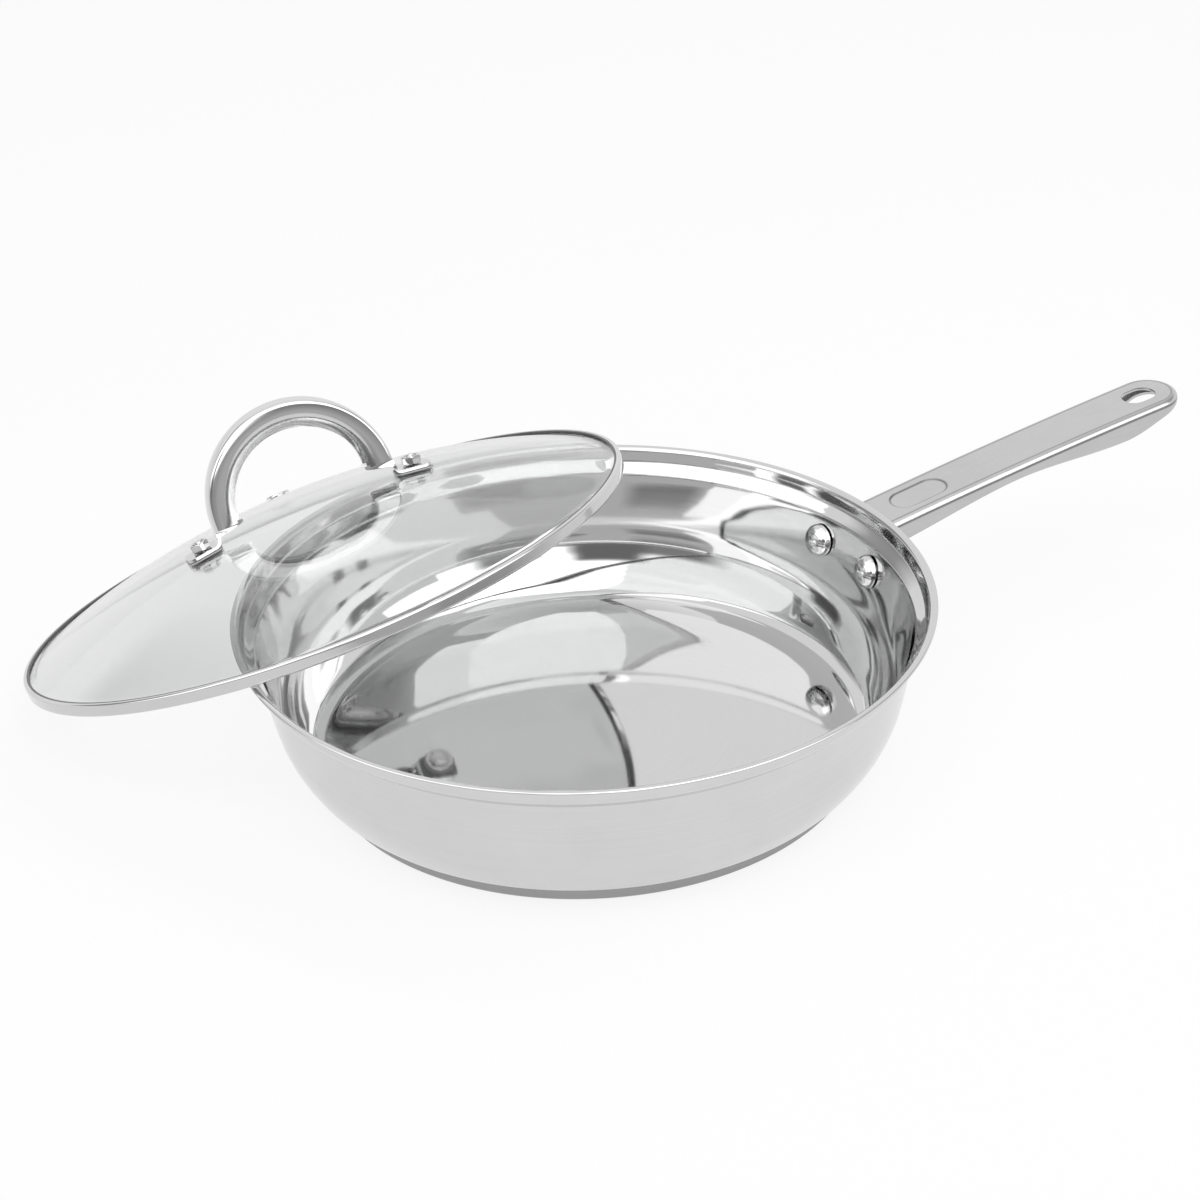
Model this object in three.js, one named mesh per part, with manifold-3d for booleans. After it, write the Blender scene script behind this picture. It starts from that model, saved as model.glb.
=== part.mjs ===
// Stainless steel egg pan with a domed glass lid leaning on its rim.
// Millimetres, +Z up. The origin is the middle of the pan's base, on the surface it stands on,
// and the long handle runs along +X.

import * as THREE from 'three';
import { mergeVertices } from 'three/addons/utils/BufferGeometryUtils.js';
import Module from 'manifold-3d';

const wasm = await Module();
wasm.setup();

// Fits between neighbouring pieces
const SEAT_GAP = 0.3; // between faces that rest on each other
const BORE_GAP = 0.3; // round a shank in its hole
const GLASS_BORE_GAP = 0.6; // round a screw where it passes the glass

// Pan body, one pressed sheet, sizes on its inner face, each step measured from the one above it
const PAN_SHEET = 1.0;
const PAN_HEIGHT = 60.3;
const LIP_RADIUS = 124.5;
const LIP_WIDTH = 2.9;
const RIM_HEIGHT = 5.6;
const RIM_FLARE = 1.0;
const LEDGE_WIDTH = 3.9;
const LEDGE_DROP = 3.6;
const WALL_FLARE = 6.2;
const BOWL_REACH = 10.2;
const BOWL_RISE = 13.1;
const FLOOR_BEND = 10;
const WALL_BEND = 44;
const LEDGE_BEND = 2.2;
const LIP_BEND = 2.0;

// Bonded base: a light metal core inside a steel cap
const BASE_INSET = 2.3; // from the edge of the pan's floor
const BASE_HEIGHT = 4.3;
const CAP_SHEET = 0.8;
const CAP_EDGE_BEND = 1.2;

// Long handle, a pressed channel that is open below
const HANDLE_SHEET = 1.2;
const HANDLE_LENGTH = 150.5;
const HANDLE_ROOT_INSET = 1.0; // under the pan's lip
const HANDLE_ROOT_DROP = 5.6; // below the pan's lip
const HANDLE_RISE = 14.7;
const HANDLE_CROWN = 1.1;
const HANDLE_ROOT_WIDTH = 23.2;
const HANDLE_TIP_WIDTH = 24.4;
const HANDLE_SHOULDER = 2.4;
const HANDLE_FLANGE = 3.0;
const HANDLE_ROOT_DEPTH = 10;
const HANDLE_WAIST_AT = 64.5;
const HANDLE_WAIST_DEPTH = 6.2;
const HANDLE_BELLY_AT = 119.5;
const HANDLE_BELLY_DEPTH = 10.4;
const HANDLE_TIP_DEPTH = 4.6;
const HANG_HOLE_LENGTH = 14.4;
const HANG_HOLE_WIDTH = 10.4;
const HANG_HOLE_TO_TIP = 9.2;
const THUMB_RECESS_AT = 13;
const THUMB_RECESS_LENGTH = 24;
const THUMB_RECESS_WIDTH = 11.6;
const THUMB_RECESS_DEPTH = 0.5;

// Bracket and rivets that hold the handle on the wall
const BRACKET_SHEET = 2.0;
const BRACKET_WIDTH = 46;
const BRACKET_HEIGHT = 16;
const BRACKET_TO_LEDGE = 1.5;
const BRACKET_CORNER = 5;
const TONGUE_WIDTH = 16;
const TONGUE_THICKNESS = 3;
const TONGUE_LENGTH = 34;
const RIVET_SPACING = 31;
const RIVET_SHANK_RADIUS = 3.0;
const RIVET_HEAD_RADIUS = 6.3;
const RIVET_HEAD_HEIGHT = 4.2;
const RIVET_TAIL_RADIUS = 4.6;
const RIVET_TAIL_HEIGHT = 2.0;

// Lid: dome of glass in a folded steel band
const LID_PLAY = 0.6; // between the band and the pan's rim when the lid is on
const GLASS_THICKNESS = 3.2;
const DOME_APEX = 25.2;
const BAND_SHEET = 0.5;
const BAND_WIDTH = 2.8;
const BAND_CORNER = 0.4;
const BAND_SEAL = 0.25;
const LID_LEAN_AZIMUTH = 116.3;
const LIP_TO_GLASS = 2.6; // between the pan's lip and the hollow of the leaning lid
const LOOP_TURN = 51;
const LOOP_SHIFT = 2.4; // off the lid's middle, towards the right foot

// Loop on the lid: a bent channel with two flat feet
const LOOP_SHEET = 1.2;
const LOOP_RADIUS = 36.3;
const LOOP_WIDTH = 15;
const LOOP_DEPTH = 10.6;
const LOOP_CORNER = 2.2;
const LOOP_RISE = 5.6;
const FOOT_WIDTH = 12;
const FOOT_BEND = 2.4;
const FOOT_LENGTH = 13.7;
const LOOP_SCREW_REACH = 42.4; // from the loop's middle

// Fasteners of the loop and the steam vent
const GASKET_THICKNESS = 0.6;
const GASKET_MARGIN = 0.2;
const GASKET_CORNER = 3.2;
const SCREW_RADIUS = 2.0;
const SCREW_TIP = 0.5;
const SCREW_HEAD_RADIUS = 4.0;
const SCREW_HEAD_HEIGHT = 2.4;
const SCREW_HEAD_FACE_RADIUS = 2.8;
const NUT_ACROSS_FLATS = 7.0;
const NUT_HEIGHT = 3.2;
const WASHER_RADIUS = 5.6;
const WASHER_THICKNESS = 1.0;
const LOWER_GASKET_RADIUS = 6.4;
const VENT_REACH = 78;
const VENT_TURN = -90; // about the lid's axis, from the loop's left foot
const VENT_BORE_RADIUS = 2.4;
const VENT_SLEEVE = 0.8;
const VENT_FLANGE_RADIUS = 5.0;
const VENT_FLANGE = 0.8;

// Facets
const TURN_STEPS = 48;
const SMALL_TURN_STEPS = 16;
const RING_TURN_STEPS = 40;
const BEND_STEPS = 2;
const WIDE_BEND_STEPS = 4;
const DOME_STEPS = 6;
const HANDLE_STEPS = 10;
const TIP_STEPS = 8;
const HALVINGS = 40;
const FAR = 40; // how far a cutting tool runs past what it cuts

const point = (x, y) => new THREE.Vector2(x, y);
const radians = THREE.MathUtils.degToRad;

const steel = (color, roughness) => ({ color, roughness, metalness: 1 });
const FINISH = {
  polished: steel(0xd2d3d4, 0.12),
  satin: steel(0xc4c5c6, 0.34),
  chrome: steel(0xc9cacc, 0.1),
  aluminium: steel(0xb9babb, 0.45),
  glass: { color: 0xdfe3e2, roughness: 0.03, metalness: 0, transparent: true, opacity: 0.3 },
  silicone: { color: 0x8b8d8e, roughness: 0.7, metalness: 0 },
};

// A closed mesh with shared corners merged and flat triangles dropped, faces outward.
function closed(source) {
  const bare = source.clone();
  bare.deleteAttribute('normal');
  bare.deleteAttribute('uv');
  const merged = mergeVertices(bare, 1e-4);
  const index = Array.from(merged.index.array);
  const place = merged.attributes.position;
  const corners = [0, 1, 2].map(() => new THREE.Vector3());
  const kept = [];
  let volume = 0;
  for (let i = 0; i < index.length; i += 3) {
    const face = index.slice(i, i + 3);
    if (new Set(face).size < 3) continue;
    face.forEach((vertex, corner) => corners[corner].fromBufferAttribute(place, vertex));
    volume += corners[0].dot(corners[1].clone().cross(corners[2]));
    kept.push(face);
  }
  const facing = volume < 0 ? kept.map(([a, b, c]) => [a, c, b]) : kept;
  merged.setIndex(facing.flat());
  return merged;
}

function solid(geometry) {
  const mesh = closed(geometry);
  return new wasm.Manifold(new wasm.Mesh({
    numProp: 3,
    vertProperties: Float32Array.from(mesh.attributes.position.array),
    triVerts: Uint32Array.from(mesh.index.array),
  }));
}

function geometryOf(manifold) {
  const mesh = manifold.getMesh();
  const geometry = new THREE.BufferGeometry();
  geometry.setAttribute('position', new THREE.BufferAttribute(mesh.vertProperties, 3));
  geometry.setIndex(new THREE.BufferAttribute(mesh.triVerts, 1));
  return geometry;
}

function cut(base, ...tools) {
  return geometryOf(tools.reduce((left, tool) => left.subtract(solid(tool)), solid(base)));
}

function join(...pieces) {
  return geometryOf(pieces.map(solid).reduce((left, piece) => left.add(piece)));
}

// Turns a profile of radius and height about Z.
function turned(profile, steps) {
  return closed(new THREE.LatheGeometry(profile, steps).rotateX(Math.PI / 2));
}

// Same, for a profile that closes on itself away from the axis.
const turnedRing = (profile, steps) => turned([...profile, profile[0]], steps);

function cylinder(radius, bottom, top, steps = SMALL_TURN_STEPS) {
  return turned([point(0, bottom), point(radius, bottom), point(radius, top), point(0, top)], steps);
}

function tube(outer, inner, bottom, top, steps = SMALL_TURN_STEPS) {
  const corners = [point(inner, bottom), point(outer, bottom), point(outer, top), point(inner, top)];
  return turnedRing(corners, steps);
}

// Rounds the inner corners of an open polyline with arcs tangent to both legs.
function rounded(corners) {
  const path = [];
  corners.forEach(({ at, bend = 0, steps = BEND_STEPS }, i) => {
    if (!bend) {
      path.push(at);
      return;
    }
    const back = corners[i - 1].at.clone().sub(at).normalize();
    const ahead = corners[i + 1].at.clone().sub(at).normalize();
    const half = Math.acos(THREE.MathUtils.clamp(back.dot(ahead), -1, 1)) / 2;
    const bisector = back.clone().add(ahead).normalize();
    const centre = at.clone().addScaledVector(bisector, bend / Math.sin(half));
    const start = at.clone().addScaledVector(back, bend / Math.tan(half)).sub(centre);
    const sweep = (Math.PI - 2 * half) * Math.sign(back.cross(ahead)) * -1;
    for (let step = 0; step <= steps; step += 1) {
      path.push(start.clone().rotateAround(point(0, 0), sweep * step / steps).add(centre));
    }
  });
  return path;
}

// Moves an open polyline sideways, to its right, keeping its legs parallel.
function offset(path, distance) {
  const legs = path.slice(1).map((next, i) => next.clone().sub(path[i]).normalize());
  return path.map((at, i) => {
    const before = legs[Math.max(i - 1, 0)];
    const after = legs[Math.min(i, legs.length - 1)];
    const normal = point(before.y + after.y, -before.x - after.x).normalize();
    const stretch = normal.dot(point(after.y, -after.x));
    return at.clone().addScaledVector(normal, distance / stretch);
  });
}

// Extrudes a flat outline; the outline's y becomes height and the depth runs across, centred on y = 0.
function extrudedAcross(outline, width) {
  const shape = new THREE.Shape(outline);
  const geometry = new THREE.ExtrudeGeometry(shape, { depth: width, bevelEnabled: false });
  return geometry.translate(0, 0, -width / 2).rotateX(Math.PI / 2);
}

// Skins a stack of outlines with equal counts of points, and closes the first and the last.
// Each outline runs out along one side and back along the other, so a lid is a strip across it.
function lofted(rings) {
  const count = rings[0].length;
  const index = [];
  for (let ring = 0; ring + 1 < rings.length; ring += 1) {
    for (let i = 0; i < count; i += 1) {
      const here = ring * count + i;
      const next = ring * count + (i + 1) % count;
      index.push(here, next, next + count, here, next + count, here + count);
    }
  }
  const last = (rings.length - 1) * count;
  for (let i = 0; i < Math.floor((count - 1) / 2); i += 1) {
    const [near, nearNext, farNext, far] = [i, i + 1, count - 2 - i, count - 1 - i];
    index.push(near, farNext, nearNext, near, far, farNext);
    index.push(last + near, last + nearNext, last + farNext, last + near, last + farNext, last + far);
  }
  const geometry = new THREE.BufferGeometry().setFromPoints(rings.flat());
  geometry.setIndex(index);
  return geometry;
}

function roundedRectangle(length, width, corner) {
  const shape = new THREE.Shape();
  const [x, y] = [length / 2 - corner, width / 2 - corner];
  shape.absarc(x, y, corner, 0, Math.PI / 2);
  shape.absarc(-x, y, corner, Math.PI / 2, Math.PI);
  shape.absarc(-x, -y, corner, Math.PI, 1.5 * Math.PI);
  shape.absarc(x, -y, corner, 1.5 * Math.PI, 2 * Math.PI);
  return shape;
}

function slab(shape, bottom, top, curveSegments = 4) {
  const geometry = new THREE.ExtrudeGeometry(shape, {
    depth: top - bottom,
    bevelEnabled: false,
    curveSegments,
  });
  return geometry.translate(0, 0, bottom);
}

function addPiece(parent, name, geometry, finish) {
  const mesh = new THREE.Mesh(closed(geometry), new THREE.MeshStandardMaterial(finish));
  mesh.name = name;
  parent.add(mesh);
  return mesh;
}

const eggPan = new THREE.Group();

// Pan body
// The inner face from the middle of the floor up the bowl, over the lid's ledge and out to the lip.
const floorHeight = BASE_HEIGHT + SEAT_GAP + PAN_SHEET;
const lipNose = PAN_SHEET / 2;
const rimTopRadius = LIP_RADIUS - LIP_WIDTH;
const ledgeOuterRadius = rimTopRadius - RIM_FLARE;
const ledgeTopHeight = PAN_HEIGHT - RIM_HEIGHT;
const ledgeInnerRadius = ledgeOuterRadius - LEDGE_WIDTH;
const ledgeFootHeight = ledgeTopHeight - LEDGE_DROP;
const wallFootRadius = ledgeInnerRadius - WALL_FLARE;
const wallFootHeight = floorHeight + BOWL_RISE;
const floorEdgeRadius = wallFootRadius - BOWL_REACH;
const panInside = rounded([
  { at: point(0, floorHeight) },
  { at: point(floorEdgeRadius, floorHeight), bend: FLOOR_BEND, steps: WIDE_BEND_STEPS },
  { at: point(wallFootRadius, wallFootHeight), bend: WALL_BEND, steps: WIDE_BEND_STEPS },
  { at: point(ledgeInnerRadius, ledgeFootHeight), bend: LEDGE_BEND },
  { at: point(ledgeOuterRadius, ledgeTopHeight), bend: LEDGE_BEND },
  { at: point(rimTopRadius, PAN_HEIGHT), bend: LIP_BEND },
  { at: point(LIP_RADIUS - lipNose, PAN_HEIGHT) },
]);
const panOutside = offset(panInside, PAN_SHEET);
const panProfile = [
  point(0, floorHeight - PAN_SHEET),
  ...panOutside.slice(1),
  point(LIP_RADIUS, PAN_HEIGHT - lipNose),
  ...panInside.toReversed(),
];

// The straight stretch of the wall, which carries the rivets
const wallRun = point(ledgeInnerRadius - wallFootRadius, ledgeFootHeight - wallFootHeight);
const wallLean = Math.atan2(wallRun.x, wallRun.y);
const wallInside = (height) => wallFootRadius + (height - wallFootHeight) * Math.tan(wallLean);
const wallBeyond = (height, depth) => wallInside(height) + depth / Math.cos(wallLean);

// The bracket sits under the ledge, and the rivets stand square on the wall, half way up the bracket
const bracketTopHeight = ledgeFootHeight - BRACKET_TO_LEDGE;
const bracketFootHeight = bracketTopHeight - BRACKET_HEIGHT;
const rivetHeight = bracketFootHeight + BRACKET_HEIGHT / 2;
const rivetAzimuth = Math.asin(RIVET_SPACING / 2 / wallInside(rivetHeight));
const rivetSides = { left: rivetAzimuth, right: -rivetAzimuth };
function rivetPlace(azimuth) {
  const outward = new THREE.Vector3(Math.cos(wallLean), 0, -Math.sin(wallLean));
  const place = new THREE.Group();
  place.position.set(wallInside(rivetHeight), 0, rivetHeight);
  place.quaternion.setFromUnitVectors(new THREE.Vector3(0, 0, 1), outward);
  const swing = new THREE.Group();
  swing.rotation.z = azimuth;
  swing.add(place);
  swing.updateMatrixWorld();
  return { swing, place };
}
const rivetBores = Object.values(rivetSides).map((azimuth) => (
  cylinder(RIVET_SHANK_RADIUS + BORE_GAP, -FAR / 4, FAR / 4)
    .applyMatrix4(rivetPlace(azimuth).place.matrixWorld)
));

addPiece(eggPan, 'pan_body', cut(turned(panProfile, TURN_STEPS), ...rivetBores), FINISH.polished);

// Bonded base
const coreBottom = CAP_SHEET + SEAT_GAP;
const baseRadius = floorEdgeRadius - BASE_INSET;
const coreRadius = baseRadius - CAP_SHEET - SEAT_GAP;
addPiece(eggPan, 'base_core', cylinder(coreRadius, coreBottom, BASE_HEIGHT, TURN_STEPS), FINISH.aluminium);
const capTop = BASE_HEIGHT - SEAT_GAP;
const capOutside = rounded([
  { at: point(0, 0) },
  { at: point(baseRadius, 0), bend: CAP_EDGE_BEND },
  { at: point(baseRadius, capTop) },
]);
const capInside = [
  point(baseRadius - CAP_SHEET, capTop),
  point(baseRadius - CAP_SHEET, CAP_SHEET),
  point(0, CAP_SHEET),
];
addPiece(eggPan, 'base_cap', turned([...capOutside, ...capInside], TURN_STEPS), FINISH.satin);

// Long handle
const handleRootX = LIP_RADIUS - HANDLE_ROOT_INSET;
const handleTipX = handleRootX + HANDLE_LENGTH;
const handleRootTop = PAN_HEIGHT - HANDLE_ROOT_DROP;
const handleTipTop = handleRootTop + HANDLE_RISE;
function handleTop(x) {
  const along = (x - handleRootX) / HANDLE_LENGTH;
  const straight = THREE.MathUtils.lerp(handleRootTop, handleTipTop, along);
  return straight + 4 * HANDLE_CROWN * along * (1 - along);
}

const handleDepths = [
  [handleRootX, HANDLE_ROOT_DEPTH],
  [handleRootX + HANDLE_WAIST_AT, HANDLE_WAIST_DEPTH],
  [handleRootX + HANDLE_BELLY_AT, HANDLE_BELLY_DEPTH],
  [handleTipX, HANDLE_TIP_DEPTH],
];
// Depth of the side at a distance from the pan's axis, eased between the stations above.
function handleDepth(x) {
  const next = Math.max(1, handleDepths.findIndex(([station]) => station >= x));
  const [[startX, startDepth], [endX, endDepth]] = handleDepths.slice(next - 1, next + 1);
  return THREE.MathUtils.lerp(startDepth, endDepth, THREE.MathUtils.smoothstep(x, startX, endX));
}

// The handle seen from above, drawn in by an inset: two sides and a round tip.
function handleOutline(inset, rootX) {
  const tipRadius = HANDLE_TIP_WIDTH / 2;
  const tipCentre = handleTipX - tipRadius;
  const halfWidth = (x) => THREE.MathUtils.mapLinear(
    x, handleRootX, tipCentre, HANDLE_ROOT_WIDTH / 2, tipRadius) - inset;
  const side = Array.from({ length: HANDLE_STEPS }, (_, i) => (
    THREE.MathUtils.lerp(rootX, tipCentre, i / HANDLE_STEPS)));
  const tip = Array.from({ length: TIP_STEPS + 1 }, (_, i) => (
    point(tipCentre, 0).add(point(0, inset - tipRadius)
      .rotateAround(point(0, 0), Math.PI * i / TIP_STEPS))));
  return [
    ...side.map((x) => point(x, -halfWidth(x))),
    ...tip,
    ...side.toReversed().map((x) => point(x, halfWidth(x))),
  ];
}

const atHeight = (outline, height) => outline.map(({ x, y }) => new THREE.Vector3(x, y, height(x)));
const handleEnd = (x) => Math.min(x, handleTipX);
const handleFoot = (x) => handleTop(x) - handleDepth(handleEnd(x));

// A body between the handle's foot and its top, with round shoulders.
function handleForm(inset, rootX) {
  const shoulder = HANDLE_SHOULDER - inset;
  const rings = [atHeight(handleOutline(inset, rootX), (x) => handleFoot(x) + inset)];
  for (let step = 0; step <= BEND_STEPS; step += 1) {
    const turn = Math.PI / 2 * step / BEND_STEPS;
    const drawn = inset + shoulder * (1 - Math.cos(turn));
    const drop = inset + shoulder * (1 - Math.sin(turn));
    rings.push(atHeight(handleOutline(drawn, rootX), (x) => handleTop(x) - drop));
  }
  return lofted(rings);
}

const openRootX = handleRootX - FAR / 10;
const slotOutline = handleOutline(HANDLE_SHEET + HANDLE_FLANGE, openRootX);
const handleSlot = lofted([
  atHeight(slotOutline, (x) => handleFoot(x) - HANDLE_SHEET),
  atHeight(slotOutline, (x) => handleFoot(x) + 2 * HANDLE_SHEET),
]);

const holeEndX = handleTipX - HANG_HOLE_TO_TIP;
const holeShape = roundedRectangle(HANG_HOLE_LENGTH, HANG_HOLE_WIDTH, HANG_HOLE_WIDTH / 2);
const hangHole = slab(holeShape, handleTipTop - FAR, handleTipTop + FAR)
  .translate(holeEndX - HANG_HOLE_LENGTH / 2, 0, 0);

// The thumb recess is an oblong, round towards the tip and then round towards the pan.
const recessStartX = handleRootX + THUMB_RECESS_AT;
const recessRadius = THUMB_RECESS_WIDTH / 2;
const recessRounds = [
  recessStartX + THUMB_RECESS_LENGTH - recessRadius,
  recessStartX + recessRadius,
];
const recessOutline = recessRounds.flatMap((x, end) => (
  Array.from({ length: TIP_STEPS + 1 }, (_, i) => (
    point(x, 0).add(point(0, -recessRadius)
      .rotateAround(point(0, 0), Math.PI * (end + i / TIP_STEPS)))))));
const thumbRecess = lofted([
  atHeight(recessOutline, (x) => handleTop(x) - THUMB_RECESS_DEPTH),
  atHeight(recessOutline, (x) => handleTop(x) + HANDLE_SHEET),
]);

addPiece(eggPan, 'handle_channel', cut(
  handleForm(0, handleRootX),
  handleForm(HANDLE_SHEET, openRootX),
  handleSlot,
  hangHole,
  thumbRecess,
), FINISH.satin);

// Handle bracket: a plate bent round the wall, with a tongue that runs up under the handle's top
const plateNear = PAN_SHEET + SEAT_GAP;
const plateFar = plateNear + BRACKET_SHEET;
const plateRing = turnedRing([
  point(wallBeyond(bracketFootHeight, plateNear), bracketFootHeight),
  point(wallBeyond(bracketFootHeight, plateFar), bracketFootHeight),
  point(wallBeyond(bracketTopHeight, plateFar), bracketTopHeight),
  point(wallBeyond(bracketTopHeight, plateNear), bracketTopHeight),
], 2 * TURN_STEPS);
const plateWindow = slab(roundedRectangle(BRACKET_HEIGHT, BRACKET_WIDTH, BRACKET_CORNER), 0, 2 * LIP_RADIUS)
  .rotateY(Math.PI / 2)
  .translate(0, 0, rivetHeight);

const tongueTop = (x) => handleTop(x) - HANDLE_SHEET - SEAT_GAP;
const tongueRoot = wallBeyond(bracketTopHeight, plateNear + BRACKET_SHEET / 2);
const tongueFootHeight = bracketTopHeight - 2 * TONGUE_THICKNESS;
const tongueEndX = handleRootX + TONGUE_LENGTH;
const tongueBendX = handleRootX + TONGUE_THICKNESS;
const tongueOutline = [
  point(wallBeyond(tongueFootHeight, plateNear + BRACKET_SHEET / 2), tongueFootHeight),
  point(tongueBendX, tongueTop(tongueBendX) - TONGUE_THICKNESS),
  point(tongueEndX, tongueTop(tongueEndX) - TONGUE_THICKNESS),
  point(tongueEndX, tongueTop(tongueEndX)),
  point(handleRootX, tongueTop(handleRootX)),
  point(tongueRoot, bracketTopHeight),
];
const bracketPlate = geometryOf(solid(plateRing).intersect(solid(plateWindow)));
const bracket = join(bracketPlate, extrudedAcross(tongueOutline, TONGUE_WIDTH));
addPiece(eggPan, 'handle_bracket', cut(bracket, ...rivetBores), FINISH.satin);

// Rivets: a domed head inside the pan and a flat one on the bracket
// The flat underside of a head clears the hollow of the wall and the facets that stand for it.
const wallRadius = wallInside(rivetHeight);
const wallHollow = wallRadius - Math.sqrt(wallRadius ** 2 - RIVET_HEAD_RADIUS ** 2);
const wallFacet = wallRadius * (1 - Math.cos(Math.PI / TURN_STEPS));
const headSeat = -SEAT_GAP - wallHollow - wallFacet;
const rivetStack = plateFar + SEAT_GAP;
const rivetHead = Array.from({ length: WIDE_BEND_STEPS + 1 }, (_, i) => {
  const turn = Math.PI / 2 * i / WIDE_BEND_STEPS;
  return point(RIVET_HEAD_RADIUS * Math.sin(turn), headSeat - RIVET_HEAD_HEIGHT * Math.cos(turn));
});
const rivetProfile = [
  ...rivetHead,
  point(RIVET_SHANK_RADIUS, headSeat),
  point(RIVET_SHANK_RADIUS, rivetStack),
  point(RIVET_TAIL_RADIUS, rivetStack),
  point(RIVET_SHANK_RADIUS, rivetStack + RIVET_TAIL_HEIGHT),
  point(0, rivetStack + RIVET_TAIL_HEIGHT),
];
for (const [side, azimuth] of Object.entries(rivetSides)) {
  const { swing, place } = rivetPlace(azimuth);
  addPiece(place, `handle_rivet_${side}`, turned(rivetProfile, SMALL_TURN_STEPS), FINISH.polished);
  eggPan.add(swing);
}

// Lid, leaning: its low edge is on the table and its band rests on the pan's lip at two points.
// Along the slope, the band's plane reaches the lip's height at slopeRun from the lid's middle.
const lidRadius = ledgeOuterRadius - LID_PLAY;
const bandInnerRadius = lidRadius - BAND_WIDTH;
const restHeight = PAN_HEIGHT + SEAT_GAP;
function leaning(tilt) {
  const slopeRun = restHeight / Math.sin(tilt) - lidRadius;
  const restHalfChord = Math.sqrt(bandInnerRadius ** 2 - slopeRun ** 2);
  const reach = slopeRun * Math.cos(tilt) + Math.sqrt(LIP_RADIUS ** 2 - restHalfChord ** 2);
  const height = lidRadius * Math.sin(tilt) + SEAT_GAP;
  const lipDepth = Math.sin(tilt) * (LIP_RADIUS - reach) + Math.cos(tilt) * (PAN_HEIGHT - height);
  return { reach, height, lipDepth };
}
// The tilt at which the lip comes within its clearance of the top of the hollow, found by halving.
function leanTilt(lipDepth) {
  let low = Math.asin(restHeight / (lidRadius + bandInnerRadius));
  let high = Math.asin(restHeight / lidRadius);
  for (let step = 0; step < HALVINGS; step += 1) {
    const middle = (low + high) / 2;
    if (leaning(middle).lipDepth < lipDepth) low = middle;
    else high = middle;
  }
  return low;
}
const tilt = leanTilt(DOME_APEX - GLASS_THICKNESS - LIP_TO_GLASS);
const { reach: lidReach, height: lidMiddleHeight } = leaning(tilt);

const lean = new THREE.Group();
lean.rotation.z = radians(LID_LEAN_AZIMUTH);
eggPan.add(lean);
const lid = new THREE.Group();
lid.position.set(lidReach, 0, lidMiddleHeight);
lid.rotation.y = tilt;
lean.add(lid);
const loopSide = new THREE.Group();
loopSide.rotation.z = radians(LOOP_TURN);
lid.add(loopSide);

// The glass has a flat margin inside the band, and a dome that is part of a sphere.
const glassBottom = BAND_SHEET + BAND_SEAL;
const glassEdgeTop = glassBottom + GLASS_THICKNESS;
const glassRadius = lidRadius - BAND_SHEET - BAND_SEAL;
const domeFoot = bandInnerRadius - BAND_SEAL;
const domeRise = DOME_APEX - glassEdgeTop;
const domeRadius = (domeFoot ** 2 + domeRise ** 2) / (2 * domeRise);
const domeMiddle = DOME_APEX - domeRadius;
const domeHeight = (reach) => domeMiddle + Math.sqrt(domeRadius ** 2 - reach ** 2);
const hollowRadius = domeRadius - GLASS_THICKNESS;
const hollowFoot = Math.sqrt(hollowRadius ** 2 - (glassBottom - domeMiddle) ** 2);
function domeArc(radius, foot) {
  const span = Math.asin(foot / radius);
  return Array.from({ length: DOME_STEPS + 1 }, (_, i) => {
    const turn = span * i / DOME_STEPS;
    return point(radius * Math.sin(turn), domeMiddle + radius * Math.cos(turn));
  });
}
const glassProfile = [
  ...domeArc(hollowRadius, hollowFoot),
  point(glassRadius, glassBottom),
  point(glassRadius, glassEdgeTop),
  ...domeArc(domeRadius, domeFoot).toReversed(),
];

// A place on the dome's outer face, square to the glass, along the loop or across it.
function domePlace(reach, azimuth) {
  const place = new THREE.Group();
  place.position.set(reach, 0, domeHeight(reach));
  place.rotation.y = Math.asin(reach / domeRadius);
  const swing = new THREE.Group();
  swing.rotation.z = azimuth;
  swing.add(place);
  swing.updateMatrixWorld();
  return { swing, place };
}
// The feet of the loop reach unequally far from the lid's axis, because the loop is off its middle.
const loopSides = {
  left: { azimuth: 0, shift: -LOOP_SHIFT },
  right: { azimuth: Math.PI, shift: LOOP_SHIFT },
};
const ventAzimuth = radians(VENT_TURN);
const ventSleeveRadius = VENT_BORE_RADIUS + VENT_SLEEVE;
const loopTurn = new THREE.Matrix4().makeRotationZ(radians(LOOP_TURN));
const glassBore = (radius, reach, azimuth) => cylinder(radius, -FAR / 4, FAR / 4)
  .applyMatrix4(domePlace(reach, azimuth).place.matrixWorld)
  .applyMatrix4(loopTurn);
addPiece(lid, 'lid_glass', cut(
  turned(glassProfile, TURN_STEPS),
  ...Object.values(loopSides).map(({ azimuth, shift }) => (
    glassBore(SCREW_RADIUS + GLASS_BORE_GAP, LOOP_SCREW_REACH + shift, azimuth))),
  glassBore(ventSleeveRadius + BORE_GAP, VENT_REACH, ventAzimuth),
), FINISH.glass);

// Band folded over and under the edge of the glass
const bandHeight = glassEdgeTop + BAND_SEAL + BAND_SHEET;
addPiece(lid, 'lid_rim_band', turnedRing([
  point(bandInnerRadius, 0),
  point(lidRadius - BAND_CORNER, 0),
  point(lidRadius, BAND_CORNER),
  point(lidRadius, bandHeight - BAND_CORNER),
  point(lidRadius - BAND_CORNER, bandHeight),
  point(bandInnerRadius, bandHeight),
  point(bandInnerRadius, bandHeight - BAND_SHEET),
  point(lidRadius - BAND_SHEET, bandHeight - BAND_SHEET),
  point(lidRadius - BAND_SHEET, BAND_SHEET),
  point(bandInnerRadius, BAND_SHEET),
], TURN_STEPS), FINISH.polished);

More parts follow.
